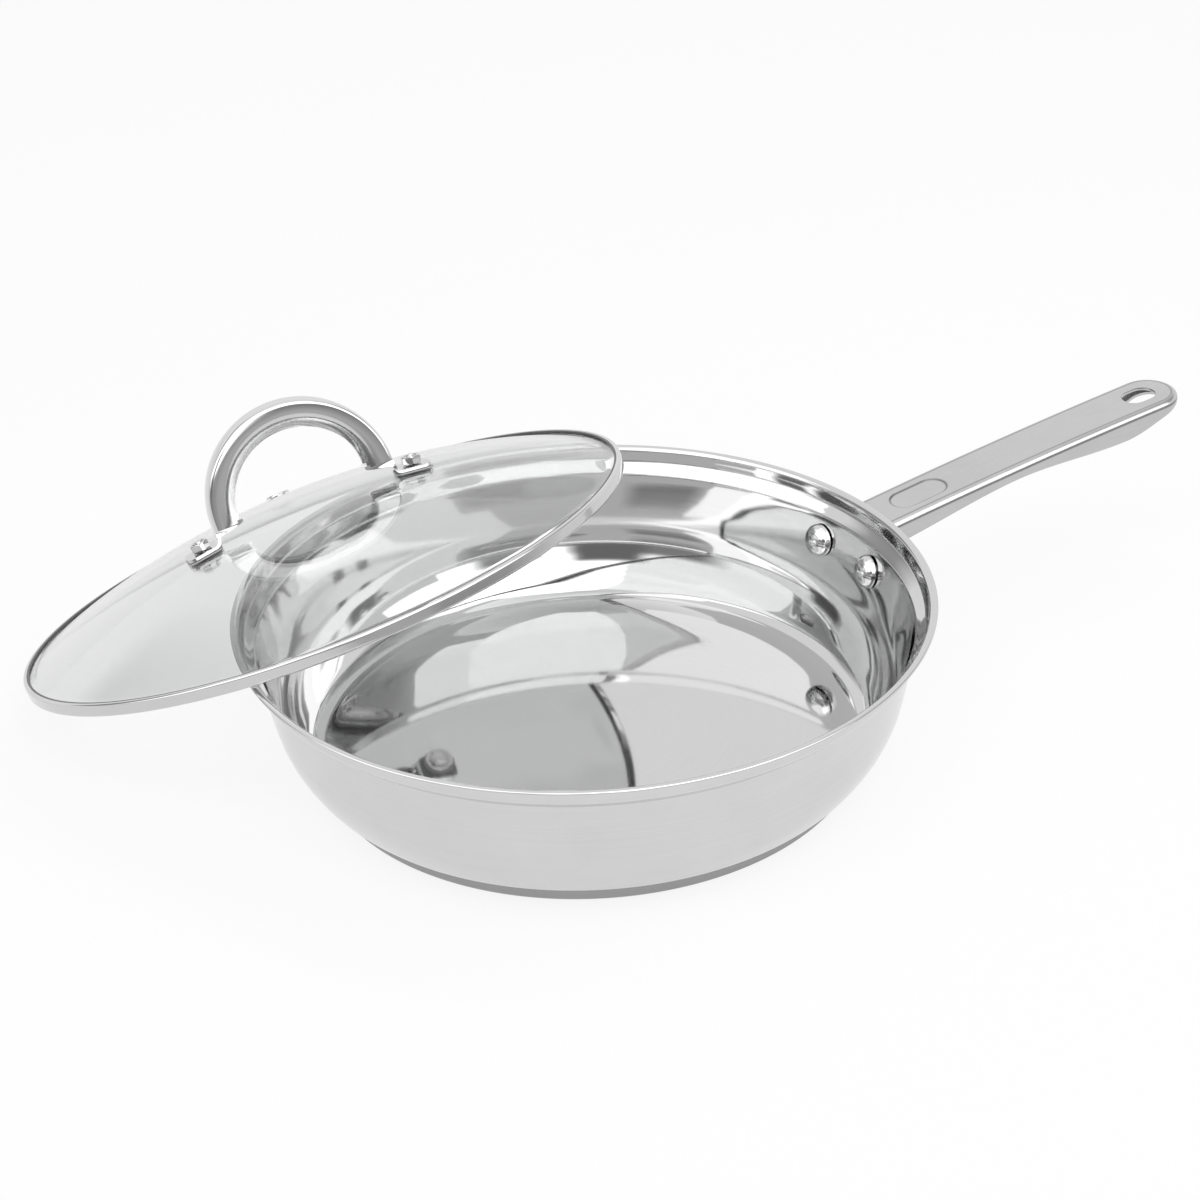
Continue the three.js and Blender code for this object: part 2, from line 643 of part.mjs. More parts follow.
// Loop: half a turn of a channel that opens inwards, on two straps that bend out into feet
const loopMiddle = DOME_APEX + LOOP_RISE;
const channelEdge = LOOP_RADIUS - LOOP_DEPTH;
const channelOutside = rounded([
  { at: point(channelEdge, -LOOP_WIDTH / 2) },
  { at: point(LOOP_RADIUS, -LOOP_WIDTH / 2), bend: LOOP_CORNER },
  { at: point(LOOP_RADIUS, LOOP_WIDTH / 2), bend: LOOP_CORNER },
  { at: point(channelEdge, LOOP_WIDTH / 2) },
]);
const channelInside = offset(channelOutside, -LOOP_SHEET).toReversed();
const channelRing = closed(new THREE.LatheGeometry(
  [...channelOutside, ...channelInside, channelOutside[0]], RING_TURN_STEPS)
  .translate(-LOOP_SHIFT, 0, loopMiddle));
const ringReach = LOOP_RADIUS + LOOP_WIDTH;
const upperHalf = new THREE.BoxGeometry(2 * ringReach, 2 * ringReach, 2 * ringReach)
  .translate(0, 0, loopMiddle + ringReach);
const arch = geometryOf(solid(channelRing).intersect(solid(upperHalf)));

const footLift = 2 * SEAT_GAP + GASKET_THICKNESS + LOOP_SHEET / 2;
const legReach = LOOP_RADIUS - LOOP_SHEET / 2;
// A strap down from one end of the arch, bent out into a foot that lies along the glass.
function loopFoot(shift) {
  const screwReach = LOOP_SCREW_REACH + shift;
  const lean = Math.asin(screwReach / domeRadius);
  const along = point(Math.cos(lean), -Math.sin(lean));
  const upward = point(Math.sin(lean), Math.cos(lean));
  const middle = point(screwReach, domeHeight(screwReach)).addScaledVector(upward, footLift);
  const legX = legReach + shift;
  const heel = middle.clone().addScaledVector(along, (legX - middle.x) / along.x);
  const line = rounded([
    { at: point(legX, loopMiddle + LOOP_SHEET) },
    { at: heel, bend: FOOT_BEND },
    { at: heel.clone().addScaledVector(along, FOOT_LENGTH) },
  ]);
  const outline = [
    ...offset(line, LOOP_SHEET / 2),
    ...offset(line, -LOOP_SHEET / 2).toReversed(),
  ];
  const bore = cylinder(SCREW_RADIUS + BORE_GAP, 0, FAR / 4)
    .applyMatrix4(domePlace(screwReach, 0).place.matrixWorld);
  return cut(extrudedAcross(outline, FOOT_WIDTH), bore);
}
const loopFeet = Object.values(loopSides).map(({ azimuth, shift }) => loopFoot(shift).rotateZ(azimuth));
addPiece(loopSide, 'lid_loop', join(arch, ...loopFeet), FINISH.chrome);

// Fasteners at each foot, stacked along the screw from the glass up and from the glass down
const gasketTop = SEAT_GAP + GASKET_THICKNESS;
const nutBottom = gasketTop + 2 * SEAT_GAP + LOOP_SHEET;
const nutTop = nutBottom + NUT_HEIGHT;
const lowerGasketTop = -GLASS_THICKNESS - SEAT_GAP;
const lowerGasketBottom = lowerGasketTop - GASKET_THICKNESS;
const washerTop = lowerGasketBottom - SEAT_GAP;
const washerBottom = washerTop - WASHER_THICKNESS;
const headTop = washerBottom - SEAT_GAP;
const boreRadius = SCREW_RADIUS + BORE_GAP;

const screwToFootEnd = legReach + FOOT_LENGTH - LOOP_SCREW_REACH;
const gasketLength = 2 * (screwToFootEnd + GASKET_MARGIN);
const gasketWidth = FOOT_WIDTH + 2 * GASKET_MARGIN;
const padShape = roundedRectangle(gasketLength, gasketWidth, GASKET_CORNER);
const padGasket = cut(
  slab(padShape, SEAT_GAP, gasketTop),
  cylinder(boreRadius, -FAR, FAR),
);
const nutCorner = NUT_ACROSS_FLATS / 2 / Math.cos(Math.PI / 6);
const hexagon = new THREE.Shape(Array.from({ length: 6 }, (_, i) => (
  point(0, nutCorner).rotateAround(point(0, 0), Math.PI / 3 * i))));
const nut = cut(slab(hexagon, nutBottom, nutTop), cylinder(boreRadius, -FAR, FAR));
const screwTipRadius = SCREW_RADIUS - SCREW_TIP / 2;
const screwProfile = [
  point(0, headTop - SCREW_HEAD_HEIGHT),
  point(SCREW_HEAD_FACE_RADIUS, headTop - SCREW_HEAD_HEIGHT),
  point(SCREW_HEAD_RADIUS, headTop - SCREW_HEAD_HEIGHT / 2),
  point(SCREW_HEAD_RADIUS, headTop),
  point(SCREW_RADIUS, headTop),
  point(SCREW_RADIUS, nutTop + SCREW_TIP / 2),
  point(screwTipRadius, nutTop + SCREW_TIP),
  point(0, nutTop + SCREW_TIP),
];
for (const [side, { azimuth, shift }] of Object.entries(loopSides)) {
  const { swing, place } = domePlace(LOOP_SCREW_REACH + shift, azimuth);
  addPiece(place, `lid_gasket_${side}`, padGasket, FINISH.silicone);
  addPiece(place, `lid_nut_${side}`, nut, FINISH.chrome);
  addPiece(place, `lid_screw_${side}`, turned(screwProfile, SMALL_TURN_STEPS), FINISH.chrome);
  const lowerGasket = tube(LOWER_GASKET_RADIUS, boreRadius, lowerGasketBottom, lowerGasketTop);
  addPiece(place, `lid_lower_gasket_${side}`, lowerGasket, FINISH.silicone);
  const washer = tube(WASHER_RADIUS, boreRadius, washerBottom, washerTop);
  addPiece(place, `lid_washer_${side}`, washer, FINISH.chrome);
  loopSide.add(swing);
}

// Steam vent: an eyelet clenched over both faces of the glass
const ventTop = SEAT_GAP + VENT_FLANGE;
const ventBottom = -GLASS_THICKNESS - SEAT_GAP - VENT_FLANGE;
const vent = domePlace(VENT_REACH, ventAzimuth);
addPiece(vent.place, 'steam_vent_eyelet', turnedRing([
  point(VENT_BORE_RADIUS, ventBottom),
  point(VENT_FLANGE_RADIUS, ventBottom),
  point(VENT_FLANGE_RADIUS, ventBottom + VENT_FLANGE),
  point(ventSleeveRadius, ventBottom + VENT_FLANGE),
  point(ventSleeveRadius, SEAT_GAP),
  point(VENT_FLANGE_RADIUS, SEAT_GAP),
  point(ventSleeveRadius + VENT_SLEEVE, ventTop),
  point(VENT_BORE_RADIUS, ventTop),
], SMALL_TURN_STEPS), FINISH.chrome);
loopSide.add(vent.swing);

export default eggPan;
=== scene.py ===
# %% [markdown]
# # A polished egg pan with a glass lid
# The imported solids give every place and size, in metres, with the handle along +X and the table at
# z = 0. They are faceted, and polished steel shows a facet at once, so the pieces that catch the eye
# are worked out again here as smooth surfaces that stand where the solids stand.

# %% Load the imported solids
import math

import bmesh
import bpy
import numpy as np
from mathutils import Matrix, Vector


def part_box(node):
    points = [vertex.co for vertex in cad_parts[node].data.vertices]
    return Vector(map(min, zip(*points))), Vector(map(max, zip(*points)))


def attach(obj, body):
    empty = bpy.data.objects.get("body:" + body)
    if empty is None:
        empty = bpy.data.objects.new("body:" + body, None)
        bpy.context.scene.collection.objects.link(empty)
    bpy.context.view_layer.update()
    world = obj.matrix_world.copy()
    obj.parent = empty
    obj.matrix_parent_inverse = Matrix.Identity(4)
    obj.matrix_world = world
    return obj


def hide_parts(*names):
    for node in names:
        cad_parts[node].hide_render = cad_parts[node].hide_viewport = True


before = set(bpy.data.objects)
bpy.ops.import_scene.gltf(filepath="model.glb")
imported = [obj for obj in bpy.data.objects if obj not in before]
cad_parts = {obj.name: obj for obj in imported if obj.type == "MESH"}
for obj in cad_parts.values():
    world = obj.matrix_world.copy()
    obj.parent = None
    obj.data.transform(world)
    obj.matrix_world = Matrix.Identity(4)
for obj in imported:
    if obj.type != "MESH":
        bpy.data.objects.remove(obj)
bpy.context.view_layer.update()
MM = 0.001

# %% [markdown]
# ## The camera
# The photograph was measured first: the circles of lip, ledge and base give the lens and the place of
# the camera. Blender's camera looks along its own -Z, so its matrix has three columns, which are
# the picture's right, the picture's up and the way back from the picture. Building these from yaw,
# pitch and roll keeps every number readable, where a typed matrix would not.

# %% Set the camera
LENS_MM = 78.861
SENSOR_MM = 36.0
CAMERA_AWAY, CAMERA_HIGH = 0.81286, 0.51636
YAW, PITCH, ROLL = (math.radians(a) for a in (0.383, 29.337, -2.6))
VIEW_TURN = math.radians(-30)


def turn_about_z(angle):
    """The matrix that turns by an angle about Z: x and y mix by its cosine and sine."""
    c, s = math.cos(angle), math.sin(angle)
    return np.array([[c, -s, 0], [s, c, 0], [0, 0, 1]])


forward = np.array([math.sin(YAW) * math.cos(PITCH), math.cos(YAW) * math.cos(PITCH), -math.sin(PITCH)])
level = np.array([math.cos(YAW), -math.sin(YAW), 0])
upright = np.cross(level, forward)
right = math.cos(ROLL) * level + math.sin(ROLL) * upright
up = -math.sin(ROLL) * level + math.cos(ROLL) * upright
pose = np.eye(4)
pose[:3, :3] = turn_about_z(VIEW_TURN) @ np.stack([right, up, -forward], axis=1)
pose[:3, 3] = turn_about_z(VIEW_TURN) @ np.array([0, -CAMERA_AWAY, CAMERA_HIGH])

camera = bpy.data.objects.new("camera", bpy.data.cameras.new("camera"))
bpy.context.scene.collection.objects.link(camera)
camera.data.lens, camera.data.sensor_width = LENS_MM, SENSOR_MM
camera.matrix_world = Matrix(pose.tolist())
bpy.context.scene.camera = camera
print("camera at", np.round(pose[:3, 3], 4))

# %% [markdown]
# ## Shader maths as plain expressions
# A finish is a sum of small patterns. Written with operators, `0.1 + 0.05 * rings` says at once what the
# nodes do. One class wraps a socket: its operators add Math nodes, and `node` adds any other node.


# %% A socket that understands arithmetic
class Wire:
    """A socket of a node tree. Arithmetic on it adds Math nodes, and node() adds any other kind."""

    def __init__(self, tree, socket=None):
        self.tree = tree
        self.socket = socket

    def node(self, kind, settings=None, inputs=None, out=0):
        """Adds a node, sets its settings first, then the values or links of its sockets."""
        made = self.tree.nodes.new("ShaderNode" + kind)
        for key, value in (settings or {}).items():
            setattr(made, key, value)
        for key, value in (inputs or {}).items():
            if isinstance(value, Wire):
                self.tree.links.new(value.socket, made.inputs[key])
            else:
                made.inputs[key].default_value = value
        return Wire(self.tree, made.outputs[out] if made.outputs else None)

    def math(self, operation, left, right=0.0):
        return self.node("Math", {"operation": operation}, {0: left, 1: right})

    def __add__(self, other):
        return self.math("ADD", self, other)

    def __radd__(self, other):
        return self.math("ADD", other, self)

    def __sub__(self, other):
        return self.math("SUBTRACT", self, other)

    def __rsub__(self, other):
        return self.math("SUBTRACT", other, self)

    def __mul__(self, other):
        return self.math("MULTIPLY", self, other)

    def __rmul__(self, other):
        return self.math("MULTIPLY", other, self)

    def __truediv__(self, other):
        return self.math("DIVIDE", self, other)

    def __rtruediv__(self, other):
        return self.math("DIVIDE", other, self)

    def __pow__(self, other):
        return self.math("POWER", self, other)


# %% [markdown]
# ## Patterns of the finishes
# Polishing and brushing leave fine lines along the way the wheel ran: round the axis on the pan, along
# the handle on its channel. A noise that is stretched along that way and very fine across it gives
# those lines. A broad, soft noise lays the faint clouds of handling over them.

# %% Lines and clouds
OFF_AXIS, ROUND_SCALE = 1e-6, 1.5
LINE_DETAIL, LINE_ROUGHNESS = 3.0, 0.6


def lines_round_axis(wire, across):
    """Fine lines that run round Z: a noise that changes fast with the distance from the axis and with the
    height, and slowly with the direction round the axis, so it has no seam."""
    place = wire.node("TexCoord", out="Object")
    x, y, z = (wire.node("SeparateXYZ", None, {0: place}, out=i) for i in range(3))
    reach = (x * x + y * y + OFF_AXIS) ** 0.5
    vector = wire.node("CombineXYZ", None, {
        0: reach * across, 1: ROUND_SCALE * x / reach, 2: ROUND_SCALE * y / reach})
    return wire.node("TexNoise", {"noise_dimensions": "4D"}, {
        "Vector": vector, "W": z * across, "Scale": 1.0, "Detail": LINE_DETAIL, "Roughness": LINE_ROUGHNESS})


def lines_along_x(wire, along, across):
    """Fine straight lines: a noise with a small scale along X and a large one across it."""
    place = wire.node("TexCoord", out="Object")
    vector = wire.node("Mapping", None, {"Vector": place, "Scale": (along, across, across)})
    return wire.node("TexNoise", None, {
        "Vector": vector, "Scale": 1.0, "Detail": LINE_DETAIL, "Roughness": LINE_ROUGHNESS})


def clouds(wire, scale):
    """Soft patches: broad ones as hands and cloths leave them, or a fine speckle at a large scale."""
    place = wire.node("TexCoord", out="Object")
    return wire.node("TexNoise", None, {"Vector": place, "Scale": scale, "Detail": 4.0, "Roughness": 0.55})


# %% [markdown]
# ## The steels
# Every steel has a shade and a roughness. Lines and clouds change both a little, and the lines also tilt
# the surface. Painted shade can darken a steel in fine lines, where its folds would lie in shade. One
# function mixes them all, so that two steels differ only in what a finisher would change: how fine the lines
# are and how much they show. The band and the small bright pieces aren't brushed, and fine clouds take the
# place of their lines.

# %% Mix the steels
# The grey that painted shade lines darken a steel towards.
PAINTED_SHADE_GREY, BUMP_STRENGTH = 0.1, 0.5


def grey(value):
    return (value, value, value, 1.0)


def new_finish(name):
    """A fresh material: its wire for nodes, its shader node and itself."""
    made = bpy.data.materials.new(name)
    made.use_nodes = True
    return Wire(made.node_tree), made.node_tree.nodes["Principled BSDF"], made


def join_wire(wire, shader, socket):
    wire.tree.links.new(wire.socket, shader.inputs[socket])


def mix_colours(wire, share, first, second):
    return wire.node("Mix", {"data_type": "RGBA"}, {0: share, 6: first, 7: second}, out=2)


def metal_finish(name, shade, roughness, lines, line_share, cloud_share, relief,
                 cloud_scale=22.0, mottle=0.03, painted_shade=None):
    """Steel: its shade, darker and lighter by the mottle and darkened by painted shade where a mask of it is
    given, and a roughness that is a plain value plus shares of the lines and the clouds."""
    wire, shader, made = new_finish(name)
    grain = lines(wire)
    haze = clouds(wire, cloud_scale)
    shader.inputs["Metallic"].default_value = 1.0
    join_wire(roughness + line_share * (grain - 0.5) + cloud_share * (haze - 0.5), shader, "Roughness")
    tone = mix_colours(wire, 0.5 * grain + 0.5 * haze, grey(shade - mottle), grey(shade + mottle))
    # Painted shade: the mask mixes the steel's colour towards a dark grey.
    if painted_shade:
        tone = mix_colours(wire, painted_shade(wire), tone, grey(PAINTED_SHADE_GREY))
    join_wire(tone, shader, "Base Color")
    bump = wire.node("Bump", None, {"Strength": BUMP_STRENGTH, "Distance": relief, "Height": grain})
    join_wire(bump, shader, "Normal")
    return made


mirror_steel = metal_finish("mirror_steel", 0.62, 0.05, lambda w: lines_round_axis(w, 900.0),
                            line_share=0.04, cloud_share=0.03, relief=2e-6)
outside_steel = metal_finish("outside_steel", 0.67, 0.13, lambda w: lines_round_axis(w, 1600.0),
                             line_share=0.08, cloud_share=0.04, relief=5e-6, cloud_scale=40.0, mottle=0.07)
# Painted shade: the base cap's steel is coloured darker than the pan's, for the dim light under the pan.
base_steel_painted_dark = metal_finish("base_steel_painted_dark", 0.36, 0.2, lambda w: lines_round_axis(w, 1300.0),
                          line_share=0.1, cloud_share=0.05, relief=8e-6)
bright_steel = metal_finish("bright_steel", 0.64, 0.05, lambda w: clouds(w, 300.0),
                            line_share=0.04, cloud_share=0.03, relief=2e-6, cloud_scale=60.0)
band_steel = metal_finish("band_steel", 0.62, 0.09, lambda w: clouds(w, 500.0),
                          line_share=0.06, cloud_share=0.04, relief=3e-6, cloud_scale=40.0)
core_metal = metal_finish("core_metal", 0.5, 0.5, lambda w: lines_round_axis(w, 700.0),
                          line_share=0.1, cloud_share=0.05, relief=2e-5)
print("steels", [m.name for m in bpy.data.materials if m.users == 0])

# %% [markdown]
# ## Glass and silicone
# The lid's glass is clear, with the faint grey of a thick pane and a trace of haze from wiping. The pads
# under the loop are pale soft silicone and the bead that seals the band is dark. Both are speckled.

# %% Mix the glass and the silicone
GLASS_TINT, GLASS_INDEX = (0.74, 0.75, 0.745, 1.0), 1.5
GLASS_POLISH, GLASS_HAZE, HAZE_SCALE = 0.004, 0.02, 30.0
wire, shader, clear_glass = new_finish("clear_glass")
shader.inputs["Transmission Weight"].default_value = 1.0
shader.inputs["IOR"].default_value = GLASS_INDEX
shader.inputs["Base Color"].default_value = GLASS_TINT
join_wire(GLASS_POLISH + GLASS_HAZE * clouds(wire, HAZE_SCALE), shader, "Roughness")

SPECKLE_SCALE, SOFT_ROUGHNESS, SPECKLE_SHARE = 900.0, 0.55, 0.2
SPECKLE_STRENGTH, SPECKLE_RELIEF = 0.4, 2e-5


def silicone_finish(name, dark, light):
    """Soft silicone: a speckle between two shades that also changes the roughness and the surface."""
    wire, shader, made = new_finish(name)
    speckle = clouds(wire, SPECKLE_SCALE)
    join_wire(mix_colours(wire, speckle, grey(dark), grey(light)), shader, "Base Color")
    join_wire(SOFT_ROUGHNESS + SPECKLE_SHARE * (speckle - 0.5), shader, "Roughness")
    bump = wire.node("Bump", None, {
        "Strength": SPECKLE_STRENGTH, "Distance": SPECKLE_RELIEF, "Height": speckle})
    join_wire(bump, shader, "Normal")
    return made


soft_silicone = silicone_finish("soft_silicone", 0.48, 0.6)
seal_silicone = silicone_finish("seal_silicone", 0.12, 0.2)
print("other finishes", [m.name for m in (clear_glass, soft_silicone, seal_silicone)])

# %% [markdown]
# ## Tools for lines
# Every new piece is a grid of points, computed as whole arrays. The lines that it starts from are drawn the
# way a press tool is dimensioned: straight legs, a bend at each corner, and a second face that lies the
# sheet's thickness beside the first.

# %% Lines with round corners
ARC_STEP = math.radians(6)
SAME_POINT = 1e-6


def unit(vector):
    return vector / np.linalg.norm(vector)


def straight(start, end, spacing):
    """Points from start to end, evenly apart and no further than the spacing."""
    count = max(1, math.ceil(np.linalg.norm(end - start) / spacing))
    return start + (end - start) * np.linspace(0, 1, count + 1)[:, None]


def round_corner(before, at, after, bend):
    """The arc that touches both legs of a corner: its middle is on the halving line, at the bend divided
    by the sine of half the corner's angle."""
    if bend == 0:
        return at[None]
    back, ahead = unit(before - at), unit(after - at)
    half = math.acos(np.clip(back @ ahead, -1, 1)) / 2
    middle = at + unit(back + ahead) * bend / math.sin(half)
    spoke = at + back * bend / math.tan(half) - middle
    sweep = -(math.pi - 2 * half) * np.sign(back[0] * ahead[1] - back[1] * ahead[0])
    turn = np.linspace(0, sweep, max(2, math.ceil(abs(sweep) / ARC_STEP) + 1))
    c, s = np.cos(turn), np.sin(turn)
    return middle + np.stack([c * spoke[0] - s * spoke[1], s * spoke[0] + c * spoke[1]], axis=1)


def rounded(corners, bends, spacing):
    """A line through corners, each rounded by its bend, with points no further apart than the spacing."""
    at = np.array(corners, float)
    arcs = [at[:1], *(round_corner(*at[i - 1:i + 2], bends[i]) for i in range(1, len(at) - 1)), at[-1:]]
    legs = [straight(a[-1], b[0], spacing) for a, b in zip(arcs[:-1], arcs[1:])]
    line = np.concatenate([p for pair in zip(arcs, [*legs, arcs[-1]]) for p in pair])
    apart = np.linalg.norm(np.diff(line, axis=0), axis=1) > SAME_POINT
    return line[np.concatenate([[True], apart])]


def beside(line, distance):
    """The line moved to its right by a distance, along the mean direction of each point's two legs."""
    legs = np.diff(line, axis=0)
    legs /= np.linalg.norm(legs, axis=1)[:, None]
    before, after = np.concatenate([legs[:1], legs]), np.concatenate([legs, legs[-1:]])
    along = before + after
    along /= np.linalg.norm(along, axis=1)[:, None]
    stretch = np.sum(along * after, axis=1)
    return line + distance * np.stack([along[:, 1], -along[:, 0]], axis=1) / stretch[:, None]


print("a round corner has", len(rounded([(0, 0), (2, 0), (2, 2)], [0, 1, 0], 2.0)), "points")

# %% [markdown]
# ## Tools for grids
# A turned piece carries a profile round Z. The faces of any grid join each point with its neighbours, and
# rows or columns close into rings where the piece has no edge.

# %% Grids and turned shapes
ON_AXIS = 1e-9


def quads(rows, columns, ring_rows=False, ring_columns=False):
    """The faces of a grid: each joins a point, the next in its row, and the two above them."""
    row = np.arange(rows if ring_rows else rows - 1)[:, None]
    column = np.arange(columns if ring_columns else columns - 1)[None, :]
    row_up, column_on = (row + 1) % rows, (column + 1) % columns
    corners = [row * columns + column, row * columns + column_on,
               row_up * columns + column_on, row_up * columns + column]
    return np.stack(corners, axis=-1).reshape(-1, 4)


def turned(profile, steps):
    """A profile of radius and height carried round Z: x and y are the radius times cosine and sine."""
    angle = np.linspace(0, 2 * math.pi, steps, endpoint=False)
    radius, height = np.array(profile).T
    flat = [radius[:, None] * np.cos(angle), radius[:, None] * np.sin(angle), height[:, None] + 0 * angle]
    return np.stack(flat, axis=-1)


def turned_faces(profile, steps):
    """Faces of a turned profile, which is a ring unless it begins on the axis."""
    return quads(len(profile), steps, ring_rows=profile[0][0] > ON_AXIS, ring_columns=True)


print("a ring of 3 by 4 points has", len(quads(3, 4, ring_columns=True)), "faces")

# %% [markdown]
# ## From a grid to a piece
# One function makes every piece. Seams and poles are welded, faces turned outwards, and folds sharper than
# an angle stay crisp. The piece hangs on its body and takes the place of its solids.

# %% Hang a piece on its body
WELD = 1e-7


def add_piece(name, points, faces, finish, body, stands_for=(), parts=None, sharp=40, turn_out=True):
    """Puts points in millimetres and faces into a mesh and hangs it on its body.
    parts gives each face the number of its finish where a piece has more than one. turn_out finds the
    outside of a closed shape, and an open sheet keeps the side that its faces were listed for."""
    mesh = bpy.data.meshes.new(name)
    face_list = faces if isinstance(faces, list) else faces.tolist()
    mesh.from_pydata((np.reshape(points, (-1, 3)) * MM).tolist(), [], face_list)
    for each in finish if isinstance(finish, list) else [finish]:
        mesh.materials.append(each)
    if parts is not None:
        mesh.polygons.foreach_set("material_index", np.asarray(parts, np.int32))
    work = bmesh.new()
    work.from_mesh(mesh)
    bmesh.ops.remove_doubles(work, verts=work.verts, dist=WELD)
    bmesh.ops.dissolve_degenerate(work, edges=work.edges, dist=WELD)
    if turn_out:
        bmesh.ops.recalc_face_normals(work, faces=work.faces)
    work.to_mesh(mesh)
    work.free()
    mesh.polygons.foreach_set("use_smooth", np.ones(len(mesh.polygons), bool))
    mesh.set_sharp_from_angle(angle=math.radians(sharp))
    piece = bpy.data.objects.new(name, mesh)
    bpy.context.scene.collection.objects.link(piece)
    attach(piece, body)
    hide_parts(*stands_for)
    print("piece", name, len(mesh.polygons), "faces")
    return piece


# %% [markdown]
# ## The pan's body
# One sheet is pressed into floor, bowl, wall, a ledge for the lid, a rim and a flat lip. Its inner face
# is a line with round corners; the outer face is the same line moved by the sheet's thickness. The
# lip ends in a half round nose. The inside is polished to a mirror and the outside is left finer
# than satin, so the faces of the two sides get two finishes.

# %% Turn the pan's body
PAN_SHEET, PAN_HEIGHT, LIP_RADIUS, FLOOR_HEIGHT = 1.0, 60.3, 124.5, 5.6
RIM_TOP, LEDGE_OUTER, LEDGE_INNER = (121.6, PAN_HEIGHT), (120.6, 54.7), (116.7, 51.1)
WALL_FOOT, FLOOR_EDGE = (110.5, 18.7), (100.3, FLOOR_HEIGHT)
FLOOR_BEND, BOWL_BEND, LEDGE_BEND, LIP_BEND = 10.0, 44.0, 2.2, 2.0
PAN_STEPS, PAN_SPACING, NOSE_POINTS = 256, 2.5, 9
NOSE = PAN_SHEET / 2

inside = rounded(
    [(0, FLOOR_HEIGHT), FLOOR_EDGE, WALL_FOOT, LEDGE_INNER, LEDGE_OUTER, RIM_TOP,
     (LIP_RADIUS - NOSE, PAN_HEIGHT)],
    [0, FLOOR_BEND, BOWL_BEND, LEDGE_BEND, LEDGE_BEND, LIP_BEND, 0], PAN_SPACING)
outside = beside(inside, PAN_SHEET)
nose_turn = np.linspace(math.pi / 2, -math.pi / 2, NOSE_POINTS)[1:-1]
nose_middle = np.array([LIP_RADIUS - NOSE, PAN_HEIGHT - NOSE])
nose = nose_middle + NOSE * np.stack([np.cos(nose_turn), np.sin(nose_turn)], axis=1)
pan_profile = np.concatenate([inside, nose, outside[::-1]])
pan_side = np.repeat(np.arange(len(pan_profile) - 1) >= len(inside) + len(nose), PAN_STEPS)
add_piece("pan_body", turned(pan_profile, PAN_STEPS), turned_faces(pan_profile, PAN_STEPS),
          [mirror_steel, outside_steel], "pan", ["pan_body"], parts=pan_side)

# %% [markdown]
# ## The base
# A thick aluminium disc spreads the heat and a thin steel cap holds it against the floor. The cap's wall
# stops just short of the bowl, which leaves the dark groove that runs round the foot of the pan.

# %% Turn the base cap
BASE_RADIUS, CAP_TOP, CAP_SHEET = 98.0, 4.0, 0.8
CAP_BEND, CAP_INNER_BEND, CAP_SPACING = 1.2, 0.6, 3.0
CAP_INNER = BASE_RADIUS - CAP_SHEET
cap_outer = rounded([(0, 0), (BASE_RADIUS, 0), (BASE_RADIUS, CAP_TOP)], [0, CAP_BEND, 0], CAP_SPACING)
cap_inner = rounded([(CAP_INNER, CAP_TOP), (CAP_INNER, CAP_SHEET), (0, CAP_SHEET)],
                    [0, CAP_INNER_BEND, 0], CAP_SPACING)
cap_profile = np.concatenate([cap_outer, cap_inner])
add_piece("base_cap", turned(cap_profile, PAN_STEPS), turned_faces(cap_profile, PAN_STEPS),
          base_steel_painted_dark, "pan", ["base_cap"])
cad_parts["base_core"].data.materials.clear()
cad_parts["base_core"].data.materials.append(core_metal)

# %% [markdown]
# ## The handle
# The handle is a pressed channel, open below, with round shoulders, turned-in lower edges, a thumb
# recess and a hanging hole. Its top rises to the tip with a shallow crown. Its side is deep at the pan,
# narrow at the waist and deep again under the palm.

# %% Sizes and heights of the handle
HANDLE_SHEET, HANDLE_ROOT, HANDLE_LENGTH = 1.2, 123.5, 150.5
HANDLE_TIP = HANDLE_ROOT + HANDLE_LENGTH
ROOT_TOP, TIP_TOP, CROWN = 54.7, 69.4, 1.1
ROOT_HALF, TIP_RADIUS = 11.6, 12.2
TIP_MIDDLE = HANDLE_TIP - TIP_RADIUS
TAPER = (TIP_RADIUS - ROOT_HALF) / (TIP_MIDDLE - HANDLE_ROOT)
SHOULDER, LOWER_BEND, FLANGE = 2.4, 1.5, 4.2
WAIST, PALM = HANDLE_ROOT + 64.5, HANDLE_ROOT + 119.5
DEPTH_AT = np.array([HANDLE_ROOT, WAIST, PALM, HANDLE_TIP])
DEPTH = np.array([10.0, 6.2, 10.4, 4.6])
HOLE_BACK, HOLE_FRONT, HOLE_RADIUS = HANDLE_TIP - 23.6, HANDLE_TIP - 9.2, 5.2
RECESS_START, RECESS_END, RECESS_HALF, RECESS_DEPTH, RECESS_EDGE = 136.5, 160.5, 5.8, 0.5, 0.5


def handle_top(x):
    """A straight rise from root to tip plus a shallow parabola, highest half way."""
    a = (x - HANDLE_ROOT) / HANDLE_LENGTH
    return ROOT_TOP + (TIP_TOP - ROOT_TOP) * a + 4 * CROWN * a * (1 - a)


def handle_foot(x):
    """The top less the depth of the side, which is eased with 3t2 - 2t3 between four stations."""
    at = np.clip(x, DEPTH_AT[0], DEPTH_AT[-1])
    here = np.clip(np.searchsorted(DEPTH_AT, at, side="right") - 1, 0, len(DEPTH_AT) - 2)
    t = (at - DEPTH_AT[here]) / (DEPTH_AT[here + 1] - DEPTH_AT[here])
    return handle_top(x) - (DEPTH[here] + (DEPTH[here + 1] - DEPTH[here]) * t * t * (3 - 2 * t))


def recess_drop(x, y):
    """Depth of the thumb recess: full inside an oblong with two round ends, eased over its edge. A point's
    distance from the line between the middles of the two rounds says how far inside it is."""
    beyond = x - np.clip(x, RECESS_START + RECESS_HALF, RECESS_END - RECESS_HALF)
    out = np.hypot(beyond, y) - RECESS_HALF
    t = np.clip(0.5 - out / (2 * RECESS_EDGE), 0, 1)
    return RECESS_DEPTH * t * t * (3 - 2 * t)


print("handle's side", np.round(handle_top(DEPTH_AT) - handle_foot(DEPTH_AT), 1), "deep")
